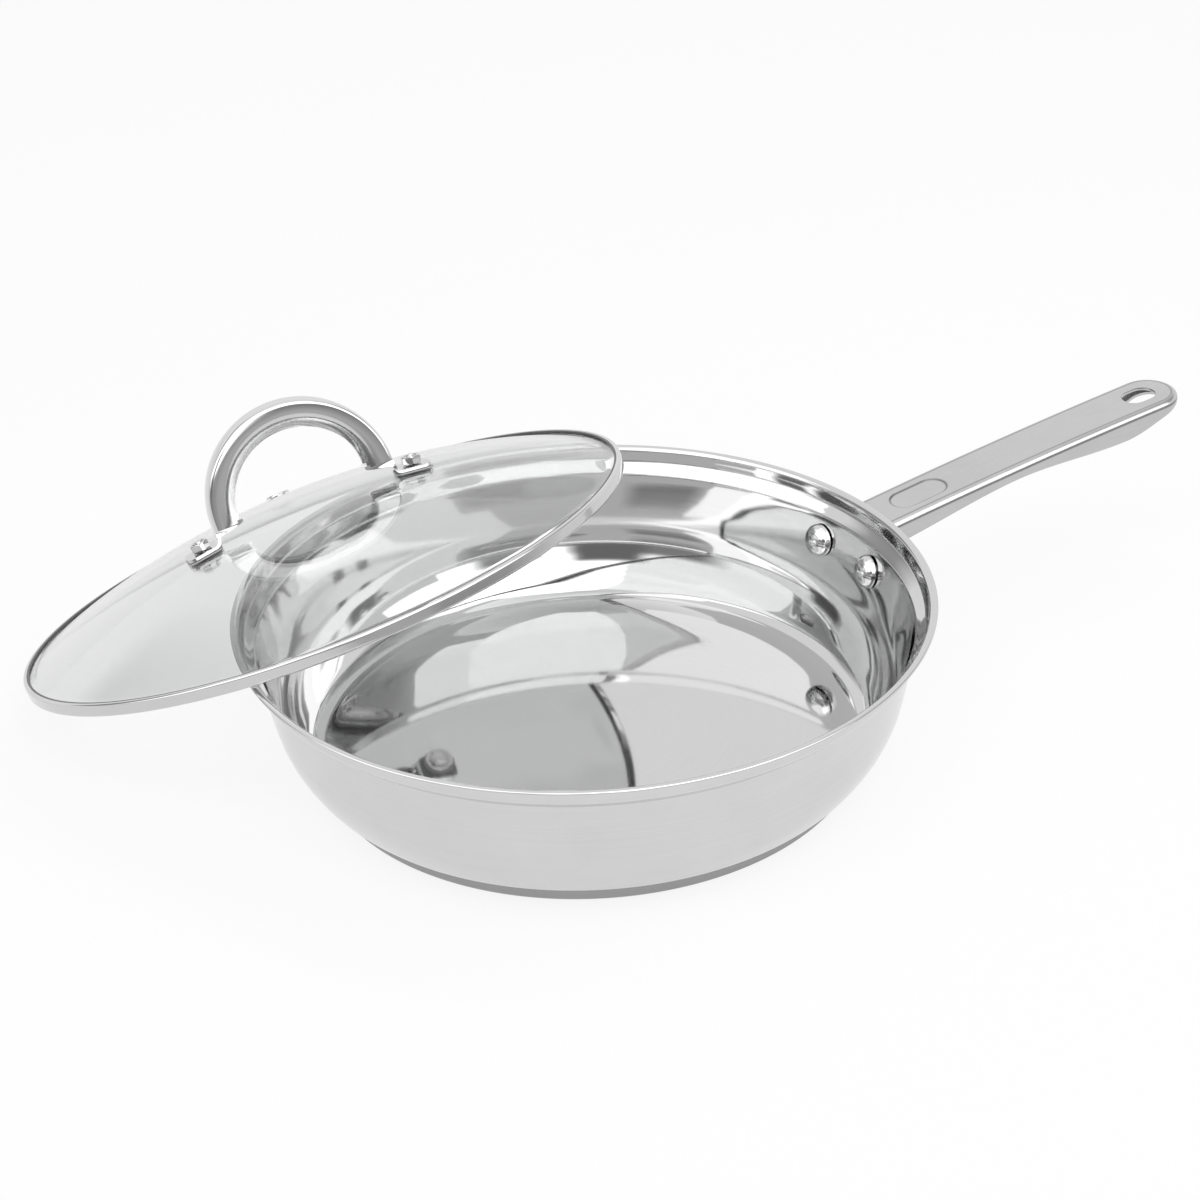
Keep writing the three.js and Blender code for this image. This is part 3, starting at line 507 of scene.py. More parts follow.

# %% [markdown]
# ## The handle's finish
# The handle is brushed along its length. A fine dark line is painted into its colour: painted shade round
# the recess, and painted dark reflections along both edges of the round shoulder.

# %% Mix the handle's steel
# Strengths and places of the painted shade lines round the recess and along the shoulder's edges.
RECESS_LINE, TOP_LINE, SIDE_LINE = 0.85, 0.55, 0.85
LINE_WIDTH, TOP_LINE_INSET, SIDE_LINE_DROP = 0.65, SHOULDER + 0.1, SHOULDER - 0.4


def near(wire, distance):
    """1 where a distance is nothing, falling evenly to 0 a line's width away."""
    return wire.math("MAXIMUM", 1 - wire.math("ABSOLUTE", distance) / LINE_WIDTH, 0.0)


def painted_fold_shade(wire):
    """How much painted shade a place has: a dark line by its distance to the recess's outline, by its inset
    from the handle's outline and by its drop below the handle's top."""
    place = wire.node("TexCoord", out="Object")
    x, y, z = (wire.node("SeparateXYZ", None, {0: place}, out=i) / MM for i in range(3))
    from_start = wire.math("MAXIMUM", x, RECESS_START + RECESS_HALF)
    beyond = x - wire.math("MINIMUM", from_start, RECESS_END - RECESS_HALF)
    by_recess = near(wire, (beyond * beyond + y * y) ** 0.5 - RECESS_HALF)
    past_tip = wire.math("MAXIMUM", x - TIP_MIDDLE, 0.0)
    half = ROOT_HALF + TAPER * (wire.math("MINIMUM", x, TIP_MIDDLE) - HANDLE_ROOT)
    inset = half - (past_tip * past_tip + y * y) ** 0.5
    by_top = near(wire, inset - TOP_LINE_INSET)
    by_side = near(wire, handle_top(x) - z - SIDE_LINE_DROP)
    by_shoulder = wire.math("MAXIMUM", TOP_LINE * by_top, SIDE_LINE * by_side)
    on_handle = wire.math("GREATER_THAN", x, HANDLE_ROOT)
    return wire.math("MAXIMUM", RECESS_LINE * by_recess, on_handle * by_shoulder)


# The handle's steel carries the painted shade lines of its folds.
handle_steel = metal_finish("handle_steel", 0.55, 0.22, lambda w: lines_along_x(w, 14.0, 1500.0),
                            line_share=0.1, cloud_share=0.05, relief=5e-6, cloud_scale=60.0, mottle=0.07,
                            painted_shade=painted_fold_shade)
print("the handle's finish", handle_steel.name)

# %% [markdown]
# ## Stations of the handle
# Seen from above the handle has two sides and a round tip. Stations run along half of that outline, and
# for each there is the point that the top runs in to: the middle line, or the edge of the hanging hole.
# They lie closer together where the recess needs it.

# %% Lay out the stations
CLOSE_STATIONS, PLAIN_STATIONS, FLAT_STATIONS, TURN_STATIONS = 84, 50, 7, 13
RECESS_MARGIN = 3.0
quarter = np.linspace(0, math.pi / 2, TURN_STATIONS)
fine_end = RECESS_END + RECESS_MARGIN
plain_x = np.concatenate([np.linspace(HANDLE_ROOT, fine_end, CLOSE_STATIONS)[:-1],
                          np.linspace(fine_end, HOLE_BACK, PLAIN_STATIONS)[:-1]])
back_x = HOLE_BACK + HOLE_RADIUS * (1 - np.cos(quarter))
flat_share = np.linspace(0, 1, FLAT_STATIONS)[1:-1]
hole_mid_back, hole_mid_front = HOLE_BACK + HOLE_RADIUS, HOLE_FRONT - HOLE_RADIUS
station_x = np.concatenate([plain_x, back_x, hole_mid_back + (TIP_MIDDLE - hole_mid_back) * flat_share,
                            np.full(len(quarter), TIP_MIDDLE)])
station_turn = np.concatenate([np.zeros(len(station_x) - len(quarter)), quarter])
inner_x = np.concatenate([plain_x, back_x, hole_mid_back + (hole_mid_front - hole_mid_back) * flat_share,
                          hole_mid_front + HOLE_RADIUS * np.sin(quarter)])
inner_y = np.concatenate([0 * plain_x, -HOLE_RADIUS * np.sin(quarter),
                          np.full(len(flat_share), -HOLE_RADIUS), -HOLE_RADIUS * np.cos(quarter)])


def outline(inset):
    """The half outline drawn in by an inset: a straight taper, then a quarter circle round the tip."""
    half = ROOT_HALF + TAPER * (station_x - HANDLE_ROOT) - inset
    return station_x + half * np.sin(station_turn), -half * np.cos(station_turn)


print("stations", len(station_x))

# %% [markdown]
# ## The handle's skin
# Across each station the skin runs along the turned-in edge, round the lower bend, up the side, round the
# shoulder and over the top. Half of it is worked out and mirrored. Solidify gives the sheet its
# thickness, as a press leaves it the same all over, and a small bevel eases the cut edges.

# %% Press the handle
FLANGE_SHARES = (0, 0.33, 0.67)
BEND_ROWS, SIDE_ROWS, SHOULDER_ROWS, TOP_ROWS = 7, 6, 10, 21
EDGE_EASE, EDGE_ANGLE = 0.2, math.radians(50)


def skin_row(inset, height):
    x, y = outline(inset)
    return np.stack([x, y, height(x)], axis=1)


rows = [skin_row(FLANGE + (LOWER_BEND - FLANGE) * t, handle_foot) for t in FLANGE_SHARES]
rows += [skin_row(LOWER_BEND * (1 - math.sin(a)),
                  lambda x, a=a: handle_foot(x) + LOWER_BEND * (1 - math.cos(a)))
         for a in np.linspace(0, math.pi / 2, BEND_ROWS)]
rows += [skin_row(0, lambda x, t=t: (1 - t) * (handle_foot(x) + LOWER_BEND) + t * (handle_top(x) - SHOULDER))
         for t in np.linspace(0, 1, SIDE_ROWS)[1:-1]]
rows += [skin_row(SHOULDER * (1 - math.cos(a)), lambda x, a=a: handle_top(x) - SHOULDER * (1 - math.sin(a)))
         for a in np.linspace(0, math.pi / 2, SHOULDER_ROWS)]
edge_x, edge_y = outline(SHOULDER)
for share in np.linspace(0, 1, TOP_ROWS)[1:]:
    x, y = edge_x + (inner_x - edge_x) * share, edge_y + (inner_y - edge_y) * share
    rows.append(np.stack([x, y, handle_top(x) - recess_drop(x, y)], axis=1))
half_skin = np.stack(rows)
handle_skin = np.concatenate([half_skin, half_skin[:, -2::-1] * np.array([1, -1, 1])], axis=1)
handle = add_piece("handle_channel", handle_skin, quads(*handle_skin.shape[:2]), handle_steel,
                   "pan", ["handle_channel"], turn_out=False)
top_face = max(handle.data.polygons, key=lambda f: f.center.z)
print("the handle's top looks up:", round(top_face.normal.z, 2))
sheet = handle.modifiers.new("sheet", "SOLIDIFY")
sheet.thickness, sheet.offset, sheet.use_even_offset = HANDLE_SHEET * MM, -1.0, True
rim = handle.modifiers.new("edges", "BEVEL")
rim.width, rim.segments, rim.limit_method, rim.angle_limit = EDGE_EASE * MM, 2, "ANGLE", EDGE_ANGLE

# %% [markdown]
# ## The bracket
# Behind the rim a plate is bent round the wall and riveted through it. The plate is a patch of the wall's
# own cone, a little further out. Its corners are round because the half width shrinks near the top and
# bottom edges like a circle does.

# %% Bend the bracket
WALL_LEAN = math.atan2(LEDGE_INNER[0] - WALL_FOOT[0], LEDGE_INNER[1] - WALL_FOOT[1])
GAP = 0.3
PLATE_NEAR, PLATE_SHEET, PLATE_HALF, PLATE_CORNER = PAN_SHEET + GAP, 2.0, 23.0, 5.0
PLATE_TOP, PLATE_FOOT, PLATE_ROWS, PLATE_COLUMNS = 49.6, 33.6, 33, 41


def wall_radius(height, depth):
    """Radius of the cone that lies a depth outside the wall's inner face."""
    return WALL_FOOT[0] + (height - WALL_FOOT[1]) * math.tan(WALL_LEAN) + depth / math.cos(WALL_LEAN)


def slab_faces(rows_count, columns_count):
    """Faces of a slab: the low grid, the high grid and a strip round the rim between them."""
    size = rows_count * columns_count
    index = np.arange(size).reshape(rows_count, columns_count)
    rim_line = np.concatenate([index[0, :-1], index[:-1, -1], index[-1, :0:-1], index[:0:-1, 0]])
    on = np.roll(rim_line, -1)
    strip = np.stack([rim_line, on, on + size, rim_line + size], axis=1)
    grid = quads(rows_count, columns_count)
    return np.concatenate([grid[:, ::-1], grid + size, strip])


height = np.linspace(PLATE_FOOT, PLATE_TOP, PLATE_ROWS)[:, None]
into_corner = np.clip(PLATE_CORNER - np.minimum(height - PLATE_FOOT, PLATE_TOP - height), 0, None)
half_width = PLATE_HALF - PLATE_CORNER + np.sqrt(PLATE_CORNER ** 2 - into_corner ** 2)
plate_share = np.linspace(-1, 1, PLATE_COLUMNS)[None, :]
bearing = np.arcsin(half_width * plate_share / wall_radius(height, PLATE_NEAR))


def plate_face(depth):
    radius = wall_radius(height, depth)
    return np.stack([radius * np.cos(bearing), radius * np.sin(bearing), height + 0 * bearing], axis=-1)


plate = np.stack([plate_face(PLATE_NEAR), plate_face(PLATE_NEAR + PLATE_SHEET)])
add_piece("handle_bracket", plate, slab_faces(PLATE_ROWS, PLATE_COLUMNS), handle_steel,
          "pan", ["handle_bracket"])

# %% [markdown]
# ## The tongue
# From the bracket a tongue runs out under the handle's top and stiffens it. It is a flat bar, bent once,
# so a line with one round corner carries its width.

# %% Run the tongue under the handle
TONGUE_HALF, TONGUE_SHEET, TONGUE_LENGTH, TONGUE_COLUMNS = 8.0, 3.0, 34.0, 9
TONGUE_ROOT, TONGUE_DROP, TONGUE_BEND, TONGUE_SPACING, TONGUE_LEAD = 46.0, 3.2, 8.0, 3.0, 2.0
TONGUE_END, TONGUE_TURN = HANDLE_ROOT + TONGUE_LENGTH, HANDLE_ROOT + TONGUE_LEAD
tongue_x = np.array([wall_radius(TONGUE_ROOT, PLATE_NEAR + PLATE_SHEET / 2), TONGUE_TURN, TONGUE_END])
tongue_z = np.array([TONGUE_ROOT, *(handle_top(x) - TONGUE_DROP for x in tongue_x[1:])])
tongue_line = rounded(np.stack([tongue_x, tongue_z], axis=1), [0, TONGUE_BEND, 0], TONGUE_SPACING)
tongue_across = TONGUE_HALF * np.linspace(-1, 1, TONGUE_COLUMNS)[None, :]


def tongue_face(offset):
    x, z = beside(tongue_line, offset).T[:, :, None]
    return np.stack([x + 0 * tongue_across, 0 * x + tongue_across, z + 0 * tongue_across], axis=-1)


tongue = np.stack([tongue_face(TONGUE_SHEET / 2), tongue_face(-TONGUE_SHEET / 2)])
add_piece("handle_tongue", tongue, slab_faces(len(tongue_line), TONGUE_COLUMNS), handle_steel,
          "pan")

# %% [markdown]
# ## The rivets
# A rivet is turned: a domed head inside the pan, a shank through wall and plate, a flat tail outside.
# Its axis is square to the wall, so it leans down as far as the wall leans out.

# %% Turn the rivets
RIVET_HEIGHT, HEAD_RADIUS, HEAD_HEIGHT, SHANK, TAIL_RADIUS, TAIL_HEIGHT = 41.6, 6.3, 4.2, 3.0, 4.6, 2.0
HEAD_SEAT, TAIL_SEAT = -0.72, PLATE_NEAR + PLATE_SHEET + GAP
TAIL_TAPER, TAIL_BEND, RIVET_SPACING, SMALL_STEPS, HEAD_POINTS = 0.4, 0.8, 2.0, 48, 15
dome_turn = np.linspace(0, math.pi / 2, HEAD_POINTS)
head = np.stack([HEAD_RADIUS * np.sin(dome_turn), HEAD_SEAT - HEAD_HEIGHT * np.cos(dome_turn)], axis=1)
tail_top = TAIL_SEAT + TAIL_HEIGHT
below_head = rounded([(HEAD_RADIUS, HEAD_SEAT), (SHANK, HEAD_SEAT), (SHANK, TAIL_SEAT),
                      (TAIL_RADIUS, TAIL_SEAT), (TAIL_RADIUS - TAIL_TAPER, tail_top), (0, tail_top)],
                     [0, 0, 0, 0, TAIL_BEND, 0], RIVET_SPACING)
rivet_profile = np.concatenate([head, below_head[1:]])


def on_wall(points, side_bearing):
    """Stands a piece turned about Z on the wall: its Z points outward and down by the wall's lean."""
    outward = np.array([math.cos(WALL_LEAN), 0, -math.sin(WALL_LEAN)])
    climb = np.array([math.sin(WALL_LEAN), 0, math.cos(WALL_LEAN)])
    axes = np.stack([climb, [0, -1, 0], outward])
    placed = points @ axes + np.array([wall_radius(RIVET_HEIGHT, 0), 0, RIVET_HEIGHT])
    return placed @ turn_about_z(side_bearing).T


for side in ("left", "right"):
    low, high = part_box(f"handle_rivet_{side}")
    side_bearing = math.atan2(low.y + high.y, low.x + high.x)
    add_piece(f"handle_rivet_{side}", on_wall(turned(rivet_profile, SMALL_STEPS), side_bearing),
              turned_faces(rivet_profile, SMALL_STEPS), bright_steel, "pan",
              [f"handle_rivet_{side}"])

# %% [markdown]
# ## Where the lid leans
# The lid lies on the table with its low edge and on the pan's lip with its band. Its frame is read from the
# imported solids: the band is a flat ring, so the direction in which its points spread least is the lid's
# own up, and the line between the two screws is the way the loop runs.

# %% Read the lid's frame
def node_points(name):
    """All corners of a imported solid, in millimetres."""
    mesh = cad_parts[name].data
    flat = np.empty(3 * len(mesh.vertices), np.float32)
    mesh.vertices.foreach_get("co", flat)
    return flat.reshape(-1, 3).astype(float) / MM


ring = node_points("lid_rim_band")
ring_middle = ring.mean(0)
lid_up = np.linalg.svd(ring - ring_middle, full_matrices=False)[2][2]
lid_up *= np.sign(lid_up[2])
lid_origin = ring_middle + lid_up * ((ring - ring_middle) @ lid_up).min()
loop_way = node_points("lid_screw_left").mean(0) - node_points("lid_screw_right").mean(0)
lid_x = unit(loop_way - lid_up * (loop_way @ lid_up))
lid_axes = np.stack([lid_x, np.cross(lid_up, lid_x), lid_up])
print("lid leans", round(math.degrees(math.acos(lid_up[2])), 2), "degrees at", np.round(lid_origin, 1))


def on_lid(points):
    """From the lid's own frame, with the loop along x and the dome's axis along z, to the part's frame."""
    return np.reshape(points, (-1, 3)) @ lid_axes + lid_origin


# %% [markdown]
# ## The glass
# The glass is part of a sphere with a flat margin, pressed hot from one pane, so it has the same thickness
# all over. Its two faces are arcs about one middle, turned about the lid's axis.

# %% Turn the glass
LID_RADIUS, BAND_WIDTH, BAND_SHEET, BAND_SEAL, GLASS, APEX = 120.0, 2.8, 0.5, 0.25, 3.2, 25.2
BAND_INNER = LID_RADIUS - BAND_WIDTH
GLASS_LOW = BAND_SHEET + BAND_SEAL
GLASS_TOP, GLASS_EDGE = GLASS_LOW + GLASS, LID_RADIUS - BAND_SHEET - BAND_SEAL
DOME_FOOT = BAND_INNER - BAND_SEAL
DOME_RADIUS = (DOME_FOOT ** 2 + (APEX - GLASS_TOP) ** 2) / (2 * (APEX - GLASS_TOP))
DOME_MIDDLE = APEX - DOME_RADIUS
GLASS_BEND, GLASS_SPACING, LID_STEPS, DOME_POINTS = 0.8, 1.5, 192, 48


def dome_arc(radius, reach):
    """Points of the dome's section from the axis out to a reach, evenly turned about the middle."""
    turn = np.linspace(0, math.asin(reach / radius), DOME_POINTS)
    return np.stack([radius * np.sin(turn), DOME_MIDDLE + radius * np.cos(turn)], axis=1)


def dome_height(reach):
    return DOME_MIDDLE + math.sqrt(DOME_RADIUS ** 2 - reach ** 2)


hollow_radius = DOME_RADIUS - GLASS
hollow_reach = math.sqrt(hollow_radius ** 2 - (GLASS_LOW - DOME_MIDDLE) ** 2)
glass_edge = rounded([(hollow_reach, GLASS_LOW), (GLASS_EDGE, GLASS_LOW), (GLASS_EDGE, GLASS_TOP),
                      (DOME_FOOT, GLASS_TOP)], [0, GLASS_BEND, GLASS_BEND, 0], GLASS_SPACING)
glass_profile = np.concatenate([dome_arc(hollow_radius, hollow_reach), glass_edge[1:-1],
                                dome_arc(DOME_RADIUS, DOME_FOOT)[::-1]])
add_piece("lid_glass", on_lid(turned(glass_profile, LID_STEPS)), turned_faces(glass_profile, LID_STEPS),
          clear_glass, "lid", ["lid_glass"], sharp=60)

# %% [markdown]
# ## The band
# A steel strip is folded over the glass's margin into a channel with round folds. Its upper leg is the
# narrower one, so the band shows as a tall side with a thin bright line above it. Along that leg the sealant
# that beds the glass shows as a fine dark bead.

# %% Fold the band and lay its bead
BAND_TOP = GLASS_TOP + BAND_SEAL + BAND_SHEET
BAND_BEND, BAND_INNER_BEND, BAND_SPACING = 0.9, 0.4, 0.7
UPPER_LEG, BEAD_WIDTH, BEAD_GAP, BEAD_SPACING = 1.6, 0.8, 0.04, 0.3
BEAD_BENDS = [0, 0.1, 0.1, 0.25]
LEG_END, SIDE_INNER = LID_RADIUS - UPPER_LEG, LID_RADIUS - BAND_SHEET
band_outer = rounded([(BAND_INNER, 0), (LID_RADIUS, 0), (LID_RADIUS, BAND_TOP), (LEG_END, BAND_TOP)],
                     [0, BAND_BEND, BAND_BEND, 0], BAND_SPACING)
band_inner = rounded([(LEG_END, BAND_TOP - BAND_SHEET), (SIDE_INNER, BAND_TOP - BAND_SHEET),
                      (SIDE_INNER, BAND_SHEET), (BAND_INNER, BAND_SHEET)],
                     [0, BAND_INNER_BEND, BAND_INNER_BEND, 0], BAND_SPACING)
band_profile = np.concatenate([band_outer, band_inner])
add_piece("lid_rim_band", on_lid(turned(band_profile, LID_STEPS)), turned_faces(band_profile, LID_STEPS),
          band_steel, "lid", ["lid_rim_band"])
bead_start, bead_end, bead_low = LEG_END - BEAD_GAP - BEAD_WIDTH, LEG_END - BEAD_GAP, GLASS_TOP + BEAD_GAP
bead_profile = rounded([(bead_start, bead_low), (bead_end, bead_low), (bead_end, BAND_TOP),
                        (bead_start, BAND_TOP)], BEAD_BENDS, BEAD_SPACING)
add_piece("lid_seal_bead", on_lid(turned(bead_profile, LID_STEPS)), turned_faces(bead_profile, LID_STEPS),
          seal_silicone, "lid")

# %% [markdown]
# ## The loop's arch
# A strip is pressed into a channel and bent into half a ring that opens inwards. The channel's face is given
# by how tightly it bends: wide on the crown, tight on the corner and wide again on the wall. The arch is
# that section carried round half a turn.

# %% Bend the arch
LOOP_SHEET, LOOP_RADIUS, LOOP_SHIFT, LOOP_RISE = 1.2, 36.3, 2.4, 5.6
LOOP_MIDDLE = APEX + LOOP_RISE
LOOP_STEPS = 97
CROWN_BEND, CORNER_BEND, WALL_BEND = 32.0, 1.3, 22.0
CROWN_TURN, CORNER_TURN, LIP_TURN = (math.radians(a) for a in (10, 85, 108))
CROWN_POINTS, CORNER_POINTS, WALL_POINTS = 12, 20, 16


def channel_half():
    """Half of the channel's outer face, from the middle of its crown to a lip. The face turns from lying to
    standing and a little beyond it. A step along it is the bend times the turn, and the sum of the steps
    is the line."""
    turn = np.concatenate([np.linspace(0, CROWN_TURN, CROWN_POINTS)[:-1],
                           np.linspace(CROWN_TURN, CORNER_TURN, CORNER_POINTS)[:-1],
                           np.linspace(CORNER_TURN, LIP_TURN, WALL_POINTS)])
    middle = (turn[1:] + turn[:-1]) / 2
    bend = np.where(middle < CROWN_TURN, CROWN_BEND, np.where(middle < CORNER_TURN, CORNER_BEND, WALL_BEND))
    step = (bend * np.diff(turn))[:, None] * np.stack([-np.sin(middle), np.cos(middle)], axis=1)
    return np.concatenate([np.zeros((1, 2)), np.cumsum(step, axis=0)])


half_section = channel_half()
channel_outer = np.concatenate([half_section[:0:-1] * [1, -1], half_section])
channel = np.concatenate([channel_outer, beside(channel_outer, -LOOP_SHEET)[::-1]])
half_turn = np.linspace(0, math.pi, LOOP_STEPS)[:, None]
reach = LOOP_RADIUS + channel[None, :, 0]
arch = np.stack([reach * np.cos(half_turn) - LOOP_SHIFT, channel[None, :, 1] + 0 * half_turn,
                 LOOP_MIDDLE + reach * np.sin(half_turn)], axis=-1)
last_ring = (LOOP_STEPS - 1) * len(channel)
arch_faces = quads(LOOP_STEPS, len(channel), ring_columns=True).tolist()
arch_faces += [list(range(len(channel))), list(range(last_ring, last_ring + len(channel)))]
print("channel's reach and half width", np.round(np.abs(channel_outer).max(0), 2))

# %% [markdown]
# ## The loop's feet
# Near the glass the channel's two walls stop, and the middle of the strip runs on, bends out and becomes a
# foot. A foot is a flat section carried along a bent line. Its width shrinks at the end like a circle does.

# %% Bend the feet
FOOT_HALF, FOOT_BEND, FOOT_LENGTH, FOOT_CORNER, SCREW_REACH = 6.0, 2.4, 13.7, 3.0, 42.4
PAD, PAD_MARGIN = 0.6, 0.2
STRAP_LAP, STRAP_SLIP, STRAP_SPACING, STRAP_COLUMNS = 1.0, 0.02, 0.4, 17


def foot_frame(side):
    """Reach of a screw, the foot's direction along the glass and its direction up from it."""
    screw_reach = SCREW_REACH + (-LOOP_SHIFT if side == "left" else LOOP_SHIFT)
    lean = math.asin(screw_reach / DOME_RADIUS)
    c, s = math.cos(lean), math.sin(lean)
    return screw_reach, np.array([c, -s]), np.array([s, c])


def half_round(points, side):
    """The right side is the left one turned by half a turn about the lid's axis."""
    return points * (np.array([1, 1, 1]) if side == "left" else np.array([-1, -1, 1]))


def loop_strap(side):
    """A strip down from the arch's end: at the top it has the crown's curve across, which flattens on the
    way to the heel; then it bends out into a foot whose end corners are round."""
    screw_reach, along, upward = foot_frame(side)
    middle = np.array([screw_reach, dome_height(screw_reach)]) + upward * (2 * GAP + PAD + LOOP_SHEET / 2)
    leg_x = LOOP_RADIUS - LOOP_SHEET / 2 + screw_reach - SCREW_REACH
    heel = middle + along * (leg_x - middle[0]) / along[0]
    line = rounded([(leg_x, LOOP_MIDDLE + STRAP_LAP), heel, heel + along * FOOT_LENGTH],
                   [0, FOOT_BEND, 0], STRAP_SPACING)
    to_end = FOOT_LENGTH - (line - heel) @ along
    in_corner = np.clip(FOOT_CORNER - to_end, 0, FOOT_CORNER)
    half = FOOT_HALF - FOOT_CORNER + np.sqrt(FOOT_CORNER ** 2 - in_corner ** 2)
    across = half[:, None] * np.linspace(-1, 1, STRAP_COLUMNS)[None, :]
    bend_top = heel[1] + FOOT_BEND
    climb = np.clip((line[:, 1:] - bend_top) / (LOOP_MIDDLE - bend_top), 0, 1)
    crown = np.interp(np.abs(across), half_section[:, 1], half_section[:, 0])
    curve = climb ** 2 * (3 - 2 * climb) * crown

    def face(offset):
        moved = beside(line, offset)
        return np.stack([moved[:, :1] + curve, across, moved[:, 1:] + 0 * across], axis=-1)

    slab = np.stack([face(LOOP_SHEET / 2 - STRAP_SLIP), face(STRAP_SLIP - LOOP_SHEET / 2)])
    return half_round(slab.reshape(-1, 3), side), slab_faces(len(line), STRAP_COLUMNS)


loop_points, loop_faces = [arch.reshape(-1, 3)], arch_faces
for side in ("left", "right"):
    strap_points, strap_faces = loop_strap(side)
    loop_faces += (strap_faces + sum(map(len, loop_points))).tolist()
    loop_points.append(strap_points)
add_piece("lid_loop", on_lid(np.concatenate(loop_points)), loop_faces, bright_steel, "lid",
          ["lid_loop"], sharp=50)

# %% [markdown]
# ## Nuts, pads and washers
# At each foot a screw comes up through a steel washer, a soft one, the glass, a pad and the foot, and a hex
# nut closes the stack.
# A nut is a ring whose outer radius follows the hexagon, cut by a cone at its corners. The pad is a ring
# too, and its outer line is a rounded oblong in polar form.

# %% Shapes of nut, pad and washer
SCREW_RADIUS = 2.0
NUT_FLATS, NUT_HEIGHT, NUT_CHAMFER, NUT_FACE, BORE_EASE = 7.0, 3.2, 0.5, 0.97, 0.3
PAD_POWER, PAD_EASE, RING_EASE, RING_SPACING = 6.0, 0.15, 0.25, 2.0
BORE, PAD_TOP = SCREW_RADIUS + GAP, GAP + PAD
NUT_LOW = PAD_TOP + 2 * GAP + LOOP_SHEET
NUT_TOP = NUT_LOW + NUT_HEIGHT
FASTENER_STEPS = 96
around = np.linspace(0, 2 * math.pi, FASTENER_STEPS, endpoint=False)


def polar(radius, heights):
    """A ring of sections: radius and height of each row at every direction round Z."""
    radius, heights, _ = np.broadcast_arrays(radius, heights, around)
    return np.stack([radius * np.cos(around), radius * np.sin(around), heights], axis=-1)


def nut_shape():
    """The hexagon's radius is half its width divided by the cosine of the angle from the nearest flat's
    middle; a cone takes the corners down by the height that the chamfer gives beyond the flats."""
    from_flat = (around + math.pi / 6) % (math.pi / 3) - math.pi / 6
    hexagon = NUT_FLATS / 2 / np.cos(from_flat)
    plain = np.ones(FASTENER_STEPS)
    face, bore, eased = NUT_FLATS / 2 * NUT_FACE * plain, BORE * plain, (BORE + BORE_EASE) * plain
    drop = NUT_CHAMFER * (hexagon - face) / (NUT_FLATS / 2 / math.cos(math.pi / 6) - face)
    top, low = NUT_TOP * plain, NUT_LOW * plain
    radius = [bore, eased, face, hexagon, hexagon, face, eased, bore]
    heights = [top - BORE_EASE, top, top, top - drop, low + drop, low, low, low + BORE_EASE]
    return polar(np.stack(radius), np.stack(heights))


def pad_shape(half_long, half_wide, low, high):
    """A flat ring whose outer line is an oblong: the radius is the power mean of both half lengths."""
    long_share, wide_share = np.abs(np.cos(around)) / half_long, np.abs(np.sin(around)) / half_wide
    oblong = (long_share ** PAD_POWER + wide_share ** PAD_POWER) ** (-1 / PAD_POWER)
    bore = BORE + 0 * oblong
    radius = [bore, oblong - PAD_EASE, oblong, oblong, oblong - PAD_EASE, bore]
    heights = np.array([high, high, high - PAD_EASE, low + PAD_EASE, low, low])[:, None]
    return polar(np.stack(radius), heights)


def ring_shape(outer, low, high):
    """A plain washer with its outer edges eased."""
    profile = rounded([(BORE, low), (outer, low), (outer, high), (BORE, high)],
                      [0, RING_EASE, RING_EASE, 0], RING_SPACING)
    return polar(profile[:, :1], profile[:, 1:])


print("nut between", round(NUT_LOW, 2), "and", round(NUT_TOP, 2), "above the glass")

# %% [markdown]
# ## The screws
# A screw has a domed head below the glass and a thread whose end shows above the nut. The thread is a ripple
# of the shank's radius that climbs by the pitch in each turn, as a rolled thread does.

# %% Shape of the screw
SCREW_TIP, THREAD_PITCH, THREAD_DEPTH, SHANK_ROWS = 0.5, 0.7, 0.22, 150
POINT_LENGTH, POINT_TAPER, SCREW_DOME_POINTS = 0.6, 0.5, 9
SCREW_HEAD, SCREW_HEAD_HEIGHT, HEAD_WALL, WASHER_SHEET = 4.0, 2.4, 0.8, 1.0
SOFT_TOP = -GLASS - GAP
SOFT_LOW = SOFT_TOP - PAD
WASHER_TOP = SOFT_LOW - GAP
WASHER_LOW = WASHER_TOP - WASHER_SHEET
HEAD_TOP = WASHER_LOW - GAP


def screw_shape():
    """A domed head and a shank whose radius drops by a triangle wave of height over pitch less the turn."""
    end = NUT_TOP + SCREW_TIP
    shank_z = np.linspace(HEAD_TOP, end, SHANK_ROWS)[:, None]
    wave = np.abs(((shank_z / THREAD_PITCH - around[None, :] / (2 * math.pi)) % 1) - 0.5) * 2
    taper = np.clip((shank_z - (end - POINT_LENGTH)) / POINT_LENGTH, 0, 1)
    shank = SCREW_RADIUS - THREAD_DEPTH * wave - POINT_TAPER * taper
    dome = np.linspace(0, math.pi / 2, SCREW_DOME_POINTS)
    head_r = np.concatenate([SCREW_HEAD * np.sin(dome), [SCREW_HEAD]])
    dome_z = HEAD_TOP - HEAD_WALL - (SCREW_HEAD_HEIGHT - HEAD_WALL) * np.cos(dome)
    head_z = np.concatenate([dome_z, [HEAD_TOP]])
    radius = np.concatenate([head_r[:, None] + 0 * around, shank, 0 * shank[:1]])
    heights = np.concatenate([head_z, shank_z[:, 0], shank_z[-1]])[:, None]
    return polar(radius, heights + 0 * around)


def on_foot(points, side):
    """Stands a piece on the dome at a screw, square to the glass."""
    screw_reach, along, upward = foot_frame(side)
    axes = np.stack([[along[0], 0, along[1]], [0, 1, 0], [upward[0], 0, upward[1]]])
    placed = np.reshape(points, (-1, 3)) @ axes + np.array([screw_reach, 0, dome_height(screw_reach)])
    return on_lid(half_round(placed, side))


print("screw's head ends", round(SCREW_HEAD_HEIGHT - HEAD_TOP, 2), "below the glass's top")

# %% [markdown]
# ## The stacks at both feet
# Both feet are held alike, so each shape is worked out once and stood on the dome at the left and the right
# screw. The pads reach a little beyond the foot, as a pad that keeps steel off glass has to.

